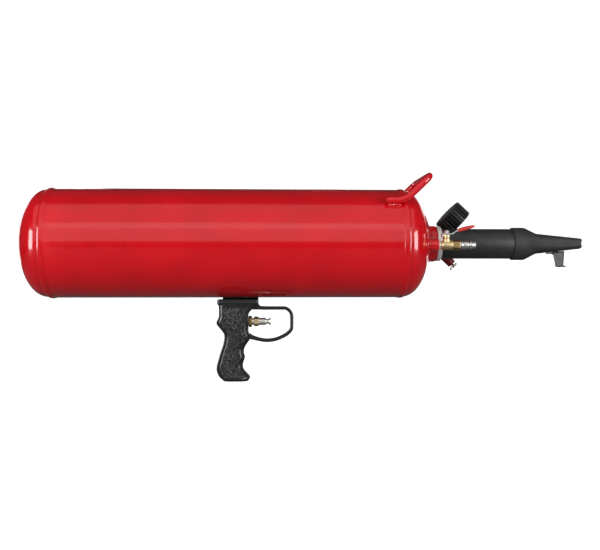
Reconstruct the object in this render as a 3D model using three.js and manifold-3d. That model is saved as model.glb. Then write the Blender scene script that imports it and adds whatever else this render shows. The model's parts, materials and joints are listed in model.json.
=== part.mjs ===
// Hand-held bead seater: an air tank with a quick-opening blast valve, a barrel and a rim nozzle.
// Millimetres, +Z up, +X along the tank towards the nozzle, +Y to the side that carries the gauge.
// The origin is the centre of the palm in the pistol grip, under the tank.

import * as THREE from 'three';
import { mergeVertices } from 'three/addons/utils/BufferGeometryUtils.js';
import Module from 'manifold-3d';

const wasm = await Module();
wasm.setup();

// ---------------------------------------------------------------- driving dimensions

const GAP = 0.3; // clearance between pieces that touch or slide
const ROUND = 16; // facets round a small piece
const FINE = 24; // and round a large one

// Tank
const TANK_RADIUS = 76;
const TANK_WALL = 2.5;
const TANK_LENGTH = 483; // between the two girth seams
const TANK_REAR_X = -247.5; // rear girth seam
const TANK_BOTTOM_Z = 74; // underside of the tank above the palm
const HEAD_STEP = 1; // the heads are slightly smaller than the shell
const HEAD_SKIRT = 10; // skirt pushed inside the shell
const HEAD_STRAIGHT = 6.4; // straight flange between the seam and the dished part
const WELD_WIDTH = 10;
const WELD_PROUD = 1.2;
const TANK_SIDES = 30;

// Neck, blast valve and barrel
const NECK_RADIUS = 25.5;
const NECK_PROUD = 6.6; // neck face beyond the top of the front head
const VALVE_RADIUS = 19; // the valve body that passes through the neck
const VALVE_WALL = 3;
const SEAT_BACK = 34.5; // seat behind the flange's outer face
const PISTON_GUIDE = 22;
const CAP_LENGTH = 6;
const WINDOW_LENGTH = 17; // side windows that let the tank's air into the valve
const WINDOW_HALF_WIDTH = 8;
const WINDOW_BACK = 3; // windows end this far behind the seat
const SEAT_LENGTH = 6;
const SEAL_THICKNESS = 3;
const PILOT_WALL = 0.8;
const FLANGE_RADIUS = 24.5;
const FLANGE_WIDTH = 6.4;
const PISTON_TRAVEL = 12;
const SEAT_BORE = 11;
const O_RING_WIDTH = 2.4;
const O_RING_HEIGHT = 1.9;
const BARREL_RADIUS = 21.2;
const BARREL_WALL = 2.6;
const BARREL_LENGTH = 102.8; // visible between the flange and the nozzle

// Nozzle
const NOZZLE_LIP = 1.9; // the nozzle's ring stands this much proud of the barrel
const NOZZLE_WALL = 2.2;
const NOZZLE_SOCKET = 6; // length of barrel held inside the nozzle
const NOZZLE_RING = 17.9; // round part
const NOZZLE_CONE = 14.5; // shoulder down to the fish tail
const NOZZLE_TAIL = 61.4; // flattened taper
const TAIL_HEIGHT = 29; // at the start of the tail
const TIP_HEIGHT = 14.9;
const TIP_WIDTH = 56;
const TIP_NOTCH = 2.2;

// Rim hook under the tail
const HOOK_WIDTH = 30;
const HOOK_SHEET = 2;
const HOOK_DROP = 22.3;
const HOOK_LIP = 2.4; // forward step at the foot of the front plate
const HOOK_BACK = 38.2; // from the tip back to the hook's rear edge
const HOOK_LENGTH = 16.5;
const RIVET_RADIUS = 1.9;
const RIVET_SPACING = 15;

// Front handle
const HANDLE_BAR = 5; // bar radius
const HANDLE_ANGLE = 46; // degrees from the top of the tank to each leg
const HANDLE_LEG = 25.5; // welded straight part
const HANDLE_END = 27; // leg's rear end behind the front seam
const HANDLE_RISE = 34;
const HANDLE_REACH = 35.5; // forward reach of the bent part
const HANDLE_CORNER = 15;

// Grip and trigger
const GRIP_HALF_THICKNESS = 15;
const GUARD_HALF_THICKNESS = 6.5;
const GRIP_WALL = 3;
const BRACKET_HALF_WIDTH = 11;
const TANG_HALF_WIDTH = 5.5;
const SCREW_RADIUS = 1.8;
const TRIGGER_Z = 40.4;
const TRIGGER_TRAVEL = 3.5;
const TRIGGER_BORE = 4.2;
const TRIGGER_WALL = 0.7; // of the threaded neck around the bore
const PILOT_X = 10; // pilot line through the tang
const PILOT_RADIUS = 2.2;
const BULKHEAD_RADIUS = 4.6;

// Side fittings at the front head
const SIDE_Y = 45; // both side bosses from the tank axis
const FILL_BELOW = 3.5; // fill valve below the tank axis
const GAUGE_ABOVE = 3.5; // gauge manifold above it
const SIDE_BOSS_RADIUS = 8.5;
const SIDE_BOSS_LENGTH = 21.8;
const SIDE_BOSS_PROUD = 9.7; // face beyond the head's surface
const SIDE_THREAD_RADIUS = 3.9;
const FITTING_BORE = 2.2;
const BALL_RADIUS = 4.5;
const BALL_BACK = 5; // rear wall of the ball valve, from its end to the ball
const BALL_FRONT = 3.6; // from the ball to the mouth that takes the end piece
const END_HEX = 15.6; // across corners
const END_LENGTH = 9.6;
const STEM_RADIUS = 1.4;
const LEVER_WIDTH = 9;
const LEVER_SHEET = 1.5;
const LEVER_REACH = 38; // from the stem to the end of the sleeve

// Gauge and relief valve
const GAUGE_TILT = 47; // degrees above the tank axis
const GAUGE_DISTANCE = 48; // manifold centre to gauge centre
const CASE_RADIUS = 20;
const BOOT_WALL = 2.7;
const BOOT_DEPTH = 24;
const RELIEF_TILT = -45;
const RELIEF_LENGTH = 44.5;
const RELIEF_HEX = 15.4; // across corners
const RELIEF_RADIUS = 6.9;
const RELIEF_END_RADIUS = 5.4;
const HUB_REACH = 8.2; // manifold centre beyond the boss's face
const BRANCH_RADIUS = 6.5;
const BRANCH_LENGTH = 15;
const MANIFOLD_RADIUS = 7.2;
const RING_RADIUS = 6.6;
const RING_WIRE = 0.75;
const RING_SWING = 70; // degrees to the side of the stem

// ---------------------------------------------------------------- derived stations

const SHELL_INNER = TANK_RADIUS - TANK_WALL;
const HEAD_RADIUS = TANK_RADIUS - HEAD_STEP;
const HEAD_DEPTH = TANK_RADIUS / 2;
const TANK_AXIS_Z = TANK_BOTTOM_Z + TANK_RADIUS;
const TANK_FRONT_X = TANK_REAR_X + TANK_LENGTH;
const FRONT_TANGENT_X = TANK_FRONT_X + HEAD_STRAIGHT;
const NECK_FACE_X = FRONT_TANGENT_X + HEAD_DEPTH + NECK_PROUD;
const FLANGE_X = NECK_FACE_X + GAP;
const FLANGE_FACE_X = FLANGE_X + FLANGE_WIDTH;
const VALVE_BORE = VALVE_RADIUS - VALVE_WALL;
const SEAT_X = FLANGE_FACE_X - SEAT_BACK;
const PISTON_FACE_X = SEAT_X - GAP;
const GUIDE_FRONT_X = SEAT_X - 18;
const GUIDE_REAR_X = GUIDE_FRONT_X - PISTON_GUIDE;
const CAP_FRONT_X = GUIDE_REAR_X - PISTON_TRAVEL - 4;
const VALVE_REAR_X = CAP_FRONT_X - CAP_LENGTH;
const BARREL_X = FLANGE_FACE_X + GAP;
const BARREL_INNER = BARREL_RADIUS - BARREL_WALL;
const NOZZLE_RADIUS = BARREL_RADIUS + NOZZLE_LIP;
const NOZZLE_X = BARREL_X + BARREL_LENGTH;
const CONE_X = NOZZLE_X + NOZZLE_RING;
const TAIL_X = CONE_X + NOZZLE_CONE;
const TIP_X = TAIL_X + NOZZLE_TAIL;
const SIDE_FACE = FRONT_TANGENT_X + HEAD_DEPTH * Math.sqrt(1 - (SIDE_Y / HEAD_RADIUS) ** 2)
  + SIDE_BOSS_PROUD;
const FILL_Z = TANK_AXIS_Z - FILL_BELOW;
const GAUGE_Z = TANK_AXIS_Z + GAUGE_ABOVE;
const COLLAR_TOP_Z = TANK_BOTTOM_Z - 2.8;
const TRIGGER_NECK_RADIUS = TRIGGER_BORE + TRIGGER_WALL;
const TRIGGER_BODY_RADIUS = TRIGGER_NECK_RADIUS + 1.1;
const TANG_REAR_X = -12;
const TANG_FRONT_X = 18;

// ---------------------------------------------------------------- finishes

const finish = (color, roughness, metalness = 0) =>
  new THREE.MeshStandardMaterial({ color, roughness, metalness });
const red = finish(0xc40a16, 0.25);
const darkRed = finish(0x8c0a12, 0.4);
const black = finish(0x26272a, 0.5);
const nozzleBlack = finish(0x2a2b2d, 0.6);
const gripBlack = finish(0x232427, 0.75);
const rubber = finish(0x1a1a1b, 0.85);
const steel = finish(0xb9bcc0, 0.35, 1);
const brass = finish(0xc9a863, 0.35, 1);
const nickel = finish(0xc9c3b4, 0.25, 1);
const white = finish(0xf2f2ee, 0.6);
const clear = finish(0xe8eef0, 0.05);
const leverRed = finish(0xd0392f, 0.5);

// ---------------------------------------------------------------- shape helpers

function weld(geometry) {
  // Merge shared vertices, drop collapsed triangles and turn the faces outwards.
  const bare = geometry.index ? geometry.toNonIndexed() : geometry.clone();
  bare.deleteAttribute('normal');
  bare.deleteAttribute('uv');
  const merged = mergeVertices(bare, 1e-3);
  const index = merged.index.array;
  const place = merged.attributes.position;
  const kept = [];
  let volume = 0;
  const a = new THREE.Vector3();
  const b = new THREE.Vector3();
  const c = new THREE.Vector3();
  for (let i = 0; i < index.length; i += 3) {
    const [p, q, r] = [index[i], index[i + 1], index[i + 2]];
    if (p === q || q === r || r === p) continue;
    kept.push(p, q, r);
    a.fromBufferAttribute(place, p);
    b.fromBufferAttribute(place, q);
    c.fromBufferAttribute(place, r);
    volume += a.dot(b.cross(c));
  }
  if (volume < 0) kept.reverse();
  merged.setIndex(kept);
  return merged;
}

function solid(geometry) {
  const closed = weld(geometry);
  return new wasm.Manifold(new wasm.Mesh({
    numProp: 3,
    vertProperties: new Float32Array(closed.attributes.position.array),
    triVerts: new Uint32Array(closed.index.array),
  }));
}

function geometryOf(manifold) {
  const mesh = manifold.getMesh();
  const geometry = new THREE.BufferGeometry();
  geometry.setAttribute('position', new THREE.BufferAttribute(mesh.vertProperties, 3));
  geometry.setIndex(new THREE.BufferAttribute(mesh.triVerts, 1));
  return geometry;
}

function cut(body, ...tools) {
  return geometryOf(tools.reduce((left, tool) => left.subtract(solid(tool)), solid(body)));
}

function join(body, ...others) {
  return geometryOf(others.reduce((sum, other) => sum.add(solid(other)), solid(body)));
}

function turned(profile, sides = ROUND) {
  // Revolve [station, radius] pairs about X. A ring's profile closes on itself.
  const points = profile.map(([x, r]) => new THREE.Vector2(r, x));
  return new THREE.LatheGeometry(points, sides).rotateZ(-Math.PI / 2);
}

function ring(x0, x1, inner, outer, sides = ROUND) {
  return turned([[x0, inner], [x0, outer], [x1, outer], [x1, inner], [x0, inner]], sides);
}

function rod(x0, x1, radius, sides = ROUND) {
  return turned([[x0, 0], [x0, radius], [x1, radius], [x1, 0]], sides);
}

const hexRod = (x0, x1, acrossCorners) => rod(x0, x1, acrossCorners / 2, 6);

// The same shapes about Z and along Y.
const aboutZ = (geometry) => geometry.rotateY(-Math.PI / 2);
const aboutY = (geometry) => geometry.rotateZ(Math.PI / 2);

function block(x0, x1, y0, y1, z0, z1) {
  return new THREE.BoxGeometry(x1 - x0, y1 - y0, z1 - z0)
    .translate((x0 + x1) / 2, (y0 + y1) / 2, (z0 + z1) / 2);
}

function plateXZ(outline, y0, y1, bevel = 0) {
  // A plate whose outline is drawn in X and Z and whose thickness runs from y0 to y1.
  const shape = new THREE.Shape(outline.map(([x, z]) => new THREE.Vector2(x, z)));
  const geometry = new THREE.ExtrudeGeometry(shape, {
    depth: y1 - y0 - 2 * bevel,
    bevelEnabled: bevel > 0,
    bevelThickness: bevel,
    bevelSize: bevel,
    bevelOffset: -bevel,
    bevelSegments: 1,
  });
  return geometry.rotateX(Math.PI / 2).translate(0, y1 - bevel, 0);
}

function bar(curve, radius, steps, sides, hollow = 0) {
  const section = new THREE.Shape();
  const spoke = (k, r) => new THREE.Vector2(
    r * Math.cos((2 * Math.PI * k) / sides), r * Math.sin((2 * Math.PI * k) / sides));
  section.setFromPoints(Array.from({ length: sides }, (_, k) => spoke(k, radius)));
  if (hollow > 0) {
    section.holes.push(new THREE.Path(Array.from({ length: sides }, (_, k) => spoke(-k, hollow))));
  }
  return new THREE.ExtrudeGeometry(section, { steps, extrudePath: curve, bevelEnabled: false });
}

function bentPath(points, corner) {
  // Straight runs joined by rounded corners.
  const path = new THREE.CurvePath();
  let from = points[0];
  for (let i = 1; i < points.length - 1; i += 1) {
    const back = points[i - 1].clone().sub(points[i]);
    const ahead = points[i + 1].clone().sub(points[i]);
    const reach = Math.min(corner, back.length() * 0.45, ahead.length() * 0.45);
    const entry = points[i].clone().addScaledVector(back.normalize(), reach);
    const exit = points[i].clone().addScaledVector(ahead.normalize(), reach);
    path.add(new THREE.LineCurve3(from, entry));
    path.add(new THREE.QuadraticBezierCurve3(entry, points[i], exit));
    from = exit;
  }
  path.add(new THREE.LineCurve3(from, points[points.length - 1]));
  return path;
}

class Coil extends THREE.Curve {
  constructor(x0, x1, radius, turns) {
    super();
    Object.assign(this, { x0, x1, radius, turns });
  }

  getPoint(t, target = new THREE.Vector3()) {
    const angle = 2 * Math.PI * this.turns * t;
    return target.set(
      this.x0 + (this.x1 - this.x0) * t, this.radius * Math.cos(angle), this.radius * Math.sin(angle));
  }
}

function spring(x0, x1, radius, wire, turns) {
  const curve = new Coil(x0 + wire, x1 - wire, radius - wire, turns);
  return bar(curve, wire, turns * 8, 4);
}

function piece(group, name, geometry, material) {
  const mesh = new THREE.Mesh(weld(geometry), material);
  mesh.name = name;
  group.add(mesh);
  return mesh;
}

const part = new THREE.Group();

function frameAt(parent, x, y, z, tiltDegrees = 0) {
  // A group whose +X is tilted up from the tank axis.
  const group = new THREE.Group();
  group.position.set(x, y, z);
  group.rotation.y = -THREE.MathUtils.degToRad(tiltDegrees);
  parent.add(group);
  return group;
}

const axis = frameAt(part, 0, 0, TANK_AXIS_Z);
const fill = frameAt(part, 0, -SIDE_Y, FILL_Z);
const gaugeSide = frameAt(part, 0, SIDE_Y, GAUGE_Z);
const trigger = frameAt(part, 0, 0, TRIGGER_Z);

// ---------------------------------------------------------------- tank

function headProfile(tangent, direction, seam) {
  // Skirt inside the shell, a step out to the straight flange, then a 2:1 ellipse to the apex.
  const steps = 5;
  const skirt = SHELL_INNER - GAP;
  const skirtInner = skirt - TANK_WALL;
  const inner = HEAD_RADIUS - TANK_WALL;
  const outside = [];
  const inside = [];
  for (let k = 0; k <= steps; k += 1) {
    const angle = (Math.PI / 2) * (k / steps);
    const reach = direction * Math.sin(angle);
    const width = k === steps ? 0 : Math.cos(angle);
    outside.push([tangent + HEAD_DEPTH * reach, HEAD_RADIUS * width]);
    inside.unshift([tangent + (HEAD_DEPTH - TANK_WALL) * reach, inner * width]);
  }
  return [
    ...outside,
    ...inside,
    [seam - direction * GAP, skirtInner],
    [seam - direction * HEAD_SKIRT, skirtInner],
    [seam - direction * HEAD_SKIRT, skirt],
    [seam + direction * GAP, skirt],
    [seam + direction * GAP, HEAD_RADIUS],
    outside[0],
  ];
}

const pilotHole = (radius) => aboutZ(rod(0, TANK_AXIS_Z, radius, 16))
  .translate(PILOT_X, 0, 0);

function tank() {
  const shell = ring(TANK_REAR_X, TANK_FRONT_X, SHELL_INNER, TANK_RADIUS, TANK_SIDES);
  const pilot = pilotHole(BULKHEAD_RADIUS + GAP).translate(0, 0, -TANK_AXIS_Z);
  piece(axis, 'tank_shell', cut(shell, pilot), red);

  const rear = headProfile(TANK_REAR_X - HEAD_STRAIGHT, -1, TANK_REAR_X);
  piece(axis, 'rear_head', turned(rear, TANK_SIDES), red);

  const front = turned(headProfile(FRONT_TANGENT_X, 1, TANK_FRONT_X), TANK_SIDES);
  const reach = [TANK_FRONT_X, NECK_FACE_X];
  const sideHole = (y, z) => rod(...reach, SIDE_BOSS_RADIUS + GAP, ROUND).translate(0, y, z);
  piece(axis, 'front_head', cut(
    front,
    rod(...reach, NECK_RADIUS + GAP, FINE),
    sideHole(-SIDE_Y, FILL_Z - TANK_AXIS_Z),
    sideHole(SIDE_Y, GAUGE_Z - TANK_AXIS_Z),
  ), red);

  for (const [name, seam] of [['rear_weld', TANK_REAR_X], ['front_weld', TANK_FRONT_X]]) {
    const inner = TANK_RADIUS + GAP;
    const outer = TANK_RADIUS + WELD_PROUD;
    const half = WELD_WIDTH / 2;
    piece(axis, name, turned([
      [seam - half, inner], [seam - half * 0.6, outer], [seam + half * 0.6, outer],
      [seam + half, inner], [seam - half, inner],
    ], TANK_SIDES), red);
  }

  const neckInside = FRONT_TANGENT_X + HEAD_DEPTH / 2;
  const bore = VALVE_RADIUS + GAP;
  const edge = 2;
  const grooveBack = NECK_FACE_X - 7;
  const grooveFront = grooveBack + O_RING_WIDTH + 2 * GAP;
  const groove = bore + O_RING_HEIGHT + GAP;
  piece(axis, 'neck_boss', turned([
    [neckInside, bore], [neckInside, NECK_RADIUS], [NECK_FACE_X - edge, NECK_RADIUS],
    [NECK_FACE_X, NECK_RADIUS - edge], [NECK_FACE_X, bore], [grooveFront, bore],
    [grooveFront, groove], [grooveBack, groove], [grooveBack, bore], [neckInside, bore],
  ], FINE), red);
  piece(axis, 'neck_o_ring', ring(
    grooveBack + GAP, grooveFront - GAP, bore, bore + O_RING_HEIGHT, FINE), rubber);

  for (const [group, name] of [[fill, 'fill_boss'], [gaugeSide, 'gauge_boss']]) {
    const back = SIDE_FACE - SIDE_BOSS_LENGTH;
    piece(group, name, ring(
      back, SIDE_FACE, SIDE_THREAD_RADIUS + GAP, SIDE_BOSS_RADIUS, ROUND), red);
  }
}

function handle() {
  const angle = THREE.MathUtils.degToRad(HANDLE_ANGLE);
  const seat = TANK_RADIUS + HANDLE_BAR + GAP;
  const y = seat * Math.sin(angle);
  const z = TANK_AXIS_Z + seat * Math.cos(angle);
  const rear = TANK_FRONT_X - HANDLE_END;
  // The legs turn up before they reach the front weld, which stands proud of the shell.
  const side = (sign) => [
    new THREE.Vector3(rear, sign * y, z),
    new THREE.Vector3(rear + HANDLE_LEG, sign * y, z),
    new THREE.Vector3(rear + HANDLE_LEG + HANDLE_REACH, sign * y, z + HANDLE_RISE),
  ];
  const route = bentPath([...side(-1), ...side(1).reverse()], HANDLE_CORNER);
  piece(part, 'front_handle', bar(route, HANDLE_BAR, 32, 8), red);
}

// ---------------------------------------------------------------- blast valve

function blastValve() {
  const windowFront = SEAT_X - WINDOW_BACK;
  const windowRear = windowFront - WINDOW_LENGTH;
  const body = turned([
    [VALVE_REAR_X, VALVE_BORE], [VALVE_REAR_X, VALVE_RADIUS], [FLANGE_X, VALVE_RADIUS],
    [FLANGE_X, FLANGE_RADIUS], [FLANGE_FACE_X, FLANGE_RADIUS], [FLANGE_FACE_X, VALVE_BORE],
    [VALVE_REAR_X, VALVE_BORE],
  ], FINE);
  const half = WINDOW_HALF_WIDTH;
  const windows = [
    block(windowRear, windowFront, -FLANGE_RADIUS, FLANGE_RADIUS, -half, half),
    block(windowRear, windowFront, -half, half, -FLANGE_RADIUS, FLANGE_RADIUS),
  ];
  piece(axis, 'blast_valve_body', cut(body, ...windows), steel);

  const fit = VALVE_BORE - GAP;
  piece(axis, 'blast_seat', ring(SEAT_X, SEAT_X + SEAT_LENGTH, SEAT_BORE, fit), brass);

  const noseFront = PISTON_FACE_X - SEAL_THICKNESS - GAP;
  const recess = GUIDE_FRONT_X - 4;
  const grooveX = GUIDE_REAR_X + 8;
  const grooveWidth = 3.6;
  const nose = SEAT_BORE + 2;
  const grooveRadius = fit - 2.2;
  const recessRadius = 9;
  piece(axis, 'blast_piston', turned([
    [recess, 0], [recess, recessRadius], [GUIDE_REAR_X, recessRadius], [GUIDE_REAR_X, fit],
    [grooveX, fit], [grooveX, grooveRadius], [grooveX + grooveWidth, grooveRadius],
    [grooveX + grooveWidth, fit], [GUIDE_FRONT_X, fit], [GUIDE_FRONT_X, nose], [noseFront, nose],
    [noseFront, 0],
  ]), finish(0xd8d8d4, 0.5));
  piece(axis, 'piston_seal', rod(PISTON_FACE_X - SEAL_THICKNESS, PISTON_FACE_X, nose), rubber);
  piece(axis, 'piston_o_ring', ring(
    grooveX + GAP, grooveX + grooveWidth - GAP, grooveRadius + GAP, fit), rubber);

  const stub = 10;
  const port = PILOT_RADIUS + GAP;
  piece(axis, 'valve_rear_cap', turned([
    [VALVE_REAR_X - stub, port], [VALVE_REAR_X - stub, port + 3], [VALVE_REAR_X, port + 3],
    [VALVE_REAR_X, fit], [CAP_FRONT_X, fit], [CAP_FRONT_X, port], [VALVE_REAR_X - stub, port],
  ]), steel);
  piece(axis, 'piston_spring', spring(
    CAP_FRONT_X + GAP, recess - GAP, recessRadius - GAP, 0.8, 6), steel);

  // The pilot line rises from the bulkhead to the tank axis and runs to the rear cap.
  const rise = new THREE.Vector3(PILOT_X, 0, -SHELL_INNER + 12);
  const line = bentPath([
    rise,
    new THREE.Vector3(PILOT_X, 0, 0),
    new THREE.Vector3(VALVE_REAR_X - 2, 0, 0),
  ], 25);
  piece(axis, 'pilot_tube', bar(line, PILOT_RADIUS, 14, 6, PILOT_RADIUS - PILOT_WALL), steel);
}

// ---------------------------------------------------------------- barrel and nozzle

function loftedTube(sections) {
  // A closed solid through oval sections [x, halfWidth, halfHeight, squareness].
  const sides = FINE;
  const rows = sections.map(([x, width, height, power]) => Array.from({ length: sides }, (_, k) => {
    const angle = (2 * Math.PI * k) / sides;
    const c = Math.cos(angle);
    const s = Math.sin(angle);
    const y = width * Math.sign(c) * Math.abs(c) ** (2 / power);
    const z = height * Math.sign(s) * Math.abs(s) ** (2 / power);
    return [x, y, z];
  }));
  const place = [];
  const triangle = (a, b, c) => place.push(...a, ...b, ...c);
  for (let i = 0; i + 1 < rows.length; i += 1) {
    for (let k = 0; k < sides; k += 1) {
      const n = (k + 1) % sides;
      triangle(rows[i][k], rows[i][n], rows[i + 1][n]);
      triangle(rows[i][k], rows[i + 1][n], rows[i + 1][k]);
    }
  }
  const last = rows.length - 1;
  for (let k = 1; k + 1 < sides; k += 1) {
    triangle(rows[0][0], rows[0][k + 1], rows[0][k]);
    triangle(rows[last][0], rows[last][k], rows[last][k + 1]);
  }
  const geometry = new THREE.BufferGeometry();
  geometry.setAttribute('position', new THREE.Float32BufferAttribute(place, 3));
  return geometry;
}

function tailSections(shrink, ends = 0) {
  const r = NOZZLE_RADIUS - shrink;
  return [
    [NOZZLE_X - ends, r, r, 2],
    [CONE_X, r, r, 2],
    [TAIL_X, TIP_WIDTH * 0.45 - shrink, TAIL_HEIGHT / 2 - shrink, 2.8],
    [TIP_X + ends, TIP_WIDTH / 2 - shrink, TIP_HEIGHT / 2 - shrink, 4],
  ];
}

const tailSlope = Math.atan((TAIL_HEIGHT - TIP_HEIGHT) / 2 / NOZZLE_TAIL);
const hookMiddle = TIP_X - HOOK_BACK + HOOK_LENGTH / 2;
const hookBottom = -TIP_HEIGHT / 2 - (TIP_X - hookMiddle) * Math.tan(tailSlope);

// Pieces under the tail follow its sloping underside: x along it, z away from it.
const underTail = (geometry) => geometry
  .rotateY(-tailSlope)
  .translate(hookMiddle, 0, hookBottom);

function rivetHoles() {
  const reach = HOOK_SHEET + NOZZLE_WALL;
  return [-1, 1].map((sign) => underTail(
    aboutZ(rod(-3 * reach, 2 * reach, RIVET_RADIUS + GAP, 12)).translate(0, sign * RIVET_SPACING / 2, 0)));
}

function barrelAndNozzle() {
  const spigot = VALVE_BORE - GAP;
  const spigotX = BARREL_X - 12;
  const spigotBore = spigot - BARREL_WALL;
  const end = NOZZLE_X + NOZZLE_SOCKET;
  piece(axis, 'barrel_tube', turned([
    [spigotX, spigotBore], [spigotX, spigot], [BARREL_X, spigot], [BARREL_X, BARREL_RADIUS],
    [end, BARREL_RADIUS], [end, BARREL_INNER], [BARREL_X + 4, BARREL_INNER],
    [BARREL_X + 4, spigotBore], [spigotX, spigotBore],
  ], FINE), black);

  const middle = TIP_X - TIP_NOTCH;
  const notch = plateXZ(
    [[middle, 0], [TIP_X + 2, TIP_HEIGHT], [TIP_X + 2, -TIP_HEIGHT]], -TIP_WIDTH, TIP_WIDTH);
  const outer = cut(
    loftedTube(tailSections(0)),
    loftedTube(tailSections(NOZZLE_WALL, 1)),
    rod(NOZZLE_X - 1, end + GAP, BARREL_RADIUS + GAP, FINE),
    notch,
    ...rivetHoles(),
  );
  piece(axis, 'nozzle', outer, nozzleBlack);

  const half = HOOK_WIDTH / 2;
  const top = -GAP;
  const long = HOOK_LENGTH / 2;
  const plate = underTail(block(-long, long, -half, half, top - HOOK_SHEET, top));
  const down = top - HOOK_SHEET / 2;
  const foot = -HOOK_DROP + 1.5;
  const cheek = plateXZ([
    [-long, down], [long, down], [long - HOOK_SHEET, foot], [-long + 4.1, foot],
  ], -half, HOOK_SHEET - half).translate(hookMiddle, 0, hookBottom);
  const lip = plateXZ([
    [long - HOOK_SHEET, down], [long, down], [long, foot + 1], [long + HOOK_LIP, foot],
    [long + HOOK_LIP, -HOOK_DROP], [long - HOOK_SHEET, foot - 0.5],
  ], -half, half).translate(hookMiddle, 0, hookBottom);
  piece(axis, 'rim_hook', cut(join(plate, cheek, lip), ...rivetHoles()), finish(0x4a4c50, 0.5, 0.7));

  for (const [name, sign] of [['hook_rivet_near', -1], ['hook_rivet_far', 1]]) {
    const under = top - HOOK_SHEET - GAP;
    const shank = turned([
      [under - 1.5, 0], [under - 1.5, 2.6], [under, 3.4], [under, RIVET_RADIUS],
      [NOZZLE_WALL + GAP, RIVET_RADIUS], [NOZZLE_WALL + GAP, 3.1], [NOZZLE_WALL + 1.5, 2.3],
      [NOZZLE_WALL + 1.5, 0],
    ], 12);
    piece(axis, name, underTail(aboutZ(shank).translate(0, sign * RIVET_SPACING / 2, 0)), steel);
  }
}

// ---------------------------------------------------------------- grip, bracket and trigger

const screwPlaces = [[-4, 60.5], [3, 22], [-3, -31]];

function gripOutline() {
  // The hand-shaped side outline, from the top rear corner down the back and up the front.
  return [
    [-20.9, COLLAR_TOP_Z], [-20.6, 64.7], [-18.8, 63.6], [-18.8, 46.9], [-22.6, 40], [-22.6, 37.2],
    [-15.3, 28], [-11.5, 23.3], [-11.3, 18.9], [-13.2, 7.7], [-16.7, -2.3], [-21.6, -19.6],
    [-22.6, -24.5], [-22, -29.4], [-20.1, -34.9], [-16.2, -39.4], [-12.2, -42.8], [21.7, -42.8],
    [24.1, -40.4], [25.9, -36.3], [17.7, -28.4], [15.2, -24.5], [14.5, -20.6], [15.2, -16.2],
    [17.2, -12.7], [18, -10.3], [17.2, -6.8], [16, -1.9], [16.5, 2], [19.1, 6.5], [20.7, 10.5],
    [22.7, 13.4], [23.4, 24.7], [22.4, 28], [22.4, 52.2], [27.2, 56.7], [36.7, 61.6],
    [36.7, COLLAR_TOP_Z],
  ];
}

function guardOutline() {
  return [
    [20, 11], [27.1, 15.1], [32.5, 13.9], [40.1, 12.3], [49.9, 11.3], [60.9, 12.9], [72.7, 17.8],
    [81.6, 23.7], [85.1, 29.6], [85.4, 52.2], [76.7, 61.6], [43, 61.6], [36.7, 66], [30, 66],
    [24, 56.7], [75.1, 56.7], [81, 50.2], [81.6, 29.6], [77.6, 25.6], [62.9, 17.8], [49.9, 15.8],
    [36.1, 18.8], [23.4, 24.7], [20, 26],
  ];
}

function gripHalf(sign) {
  const solidGrip = join(
    plateXZ(gripOutline(), -GRIP_HALF_THICKNESS, GRIP_HALF_THICKNESS, 2),
    plateXZ(guardOutline(), -GUARD_HALF_THICKNESS, GUARD_HALF_THICKNESS),
  );
  const inside = GRIP_HALF_THICKNESS - GRIP_WALL;
  const tang = TANG_HALF_WIDTH + GAP;
  const parting = GAP / 2;
  const reach = 100;
  return cut(
    solidGrip,
    block(-reach, reach, -sign * reach, sign * parting, -reach, reach),
    block(-15, 19.4, -inside, inside, 31, 48.5),
    plateXZ([[-8, 12], [-10, 0], [-17, -20], [9, -20], [11, 0], [14, 12]], -inside, inside),
    block(TANG_REAR_X - GAP, TANG_FRONT_X + GAP, -tang, tang, 48, reach),
    rod(0, reach, TRIGGER_NECK_RADIUS + GAP, 16).translate(0, 0, TRIGGER_Z),
    ...screwPlaces.map(([x, z]) => screwHole(x, z)),
  );
}

// Screws run in from the far side and stop inside the near half.
const screwFrom = -GRIP_HALF_THICKNESS + 4;
const screwHead = GRIP_HALF_THICKNESS - 2.5;

function screwHole(x, z) {
  const profile = [
    [screwFrom - 1, 0], [screwFrom - 1, SCREW_RADIUS + GAP], [screwHead - 2 - GAP, SCREW_RADIUS + GAP],
    [screwHead - 2 - GAP, SCREW_RADIUS + 1.7], [GRIP_HALF_THICKNESS + 1, SCREW_RADIUS + 1.7],
    [GRIP_HALF_THICKNESS + 1, 0],
  ];
  return aboutY(turned(profile, 12)).translate(x, 0, z);
}

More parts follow.
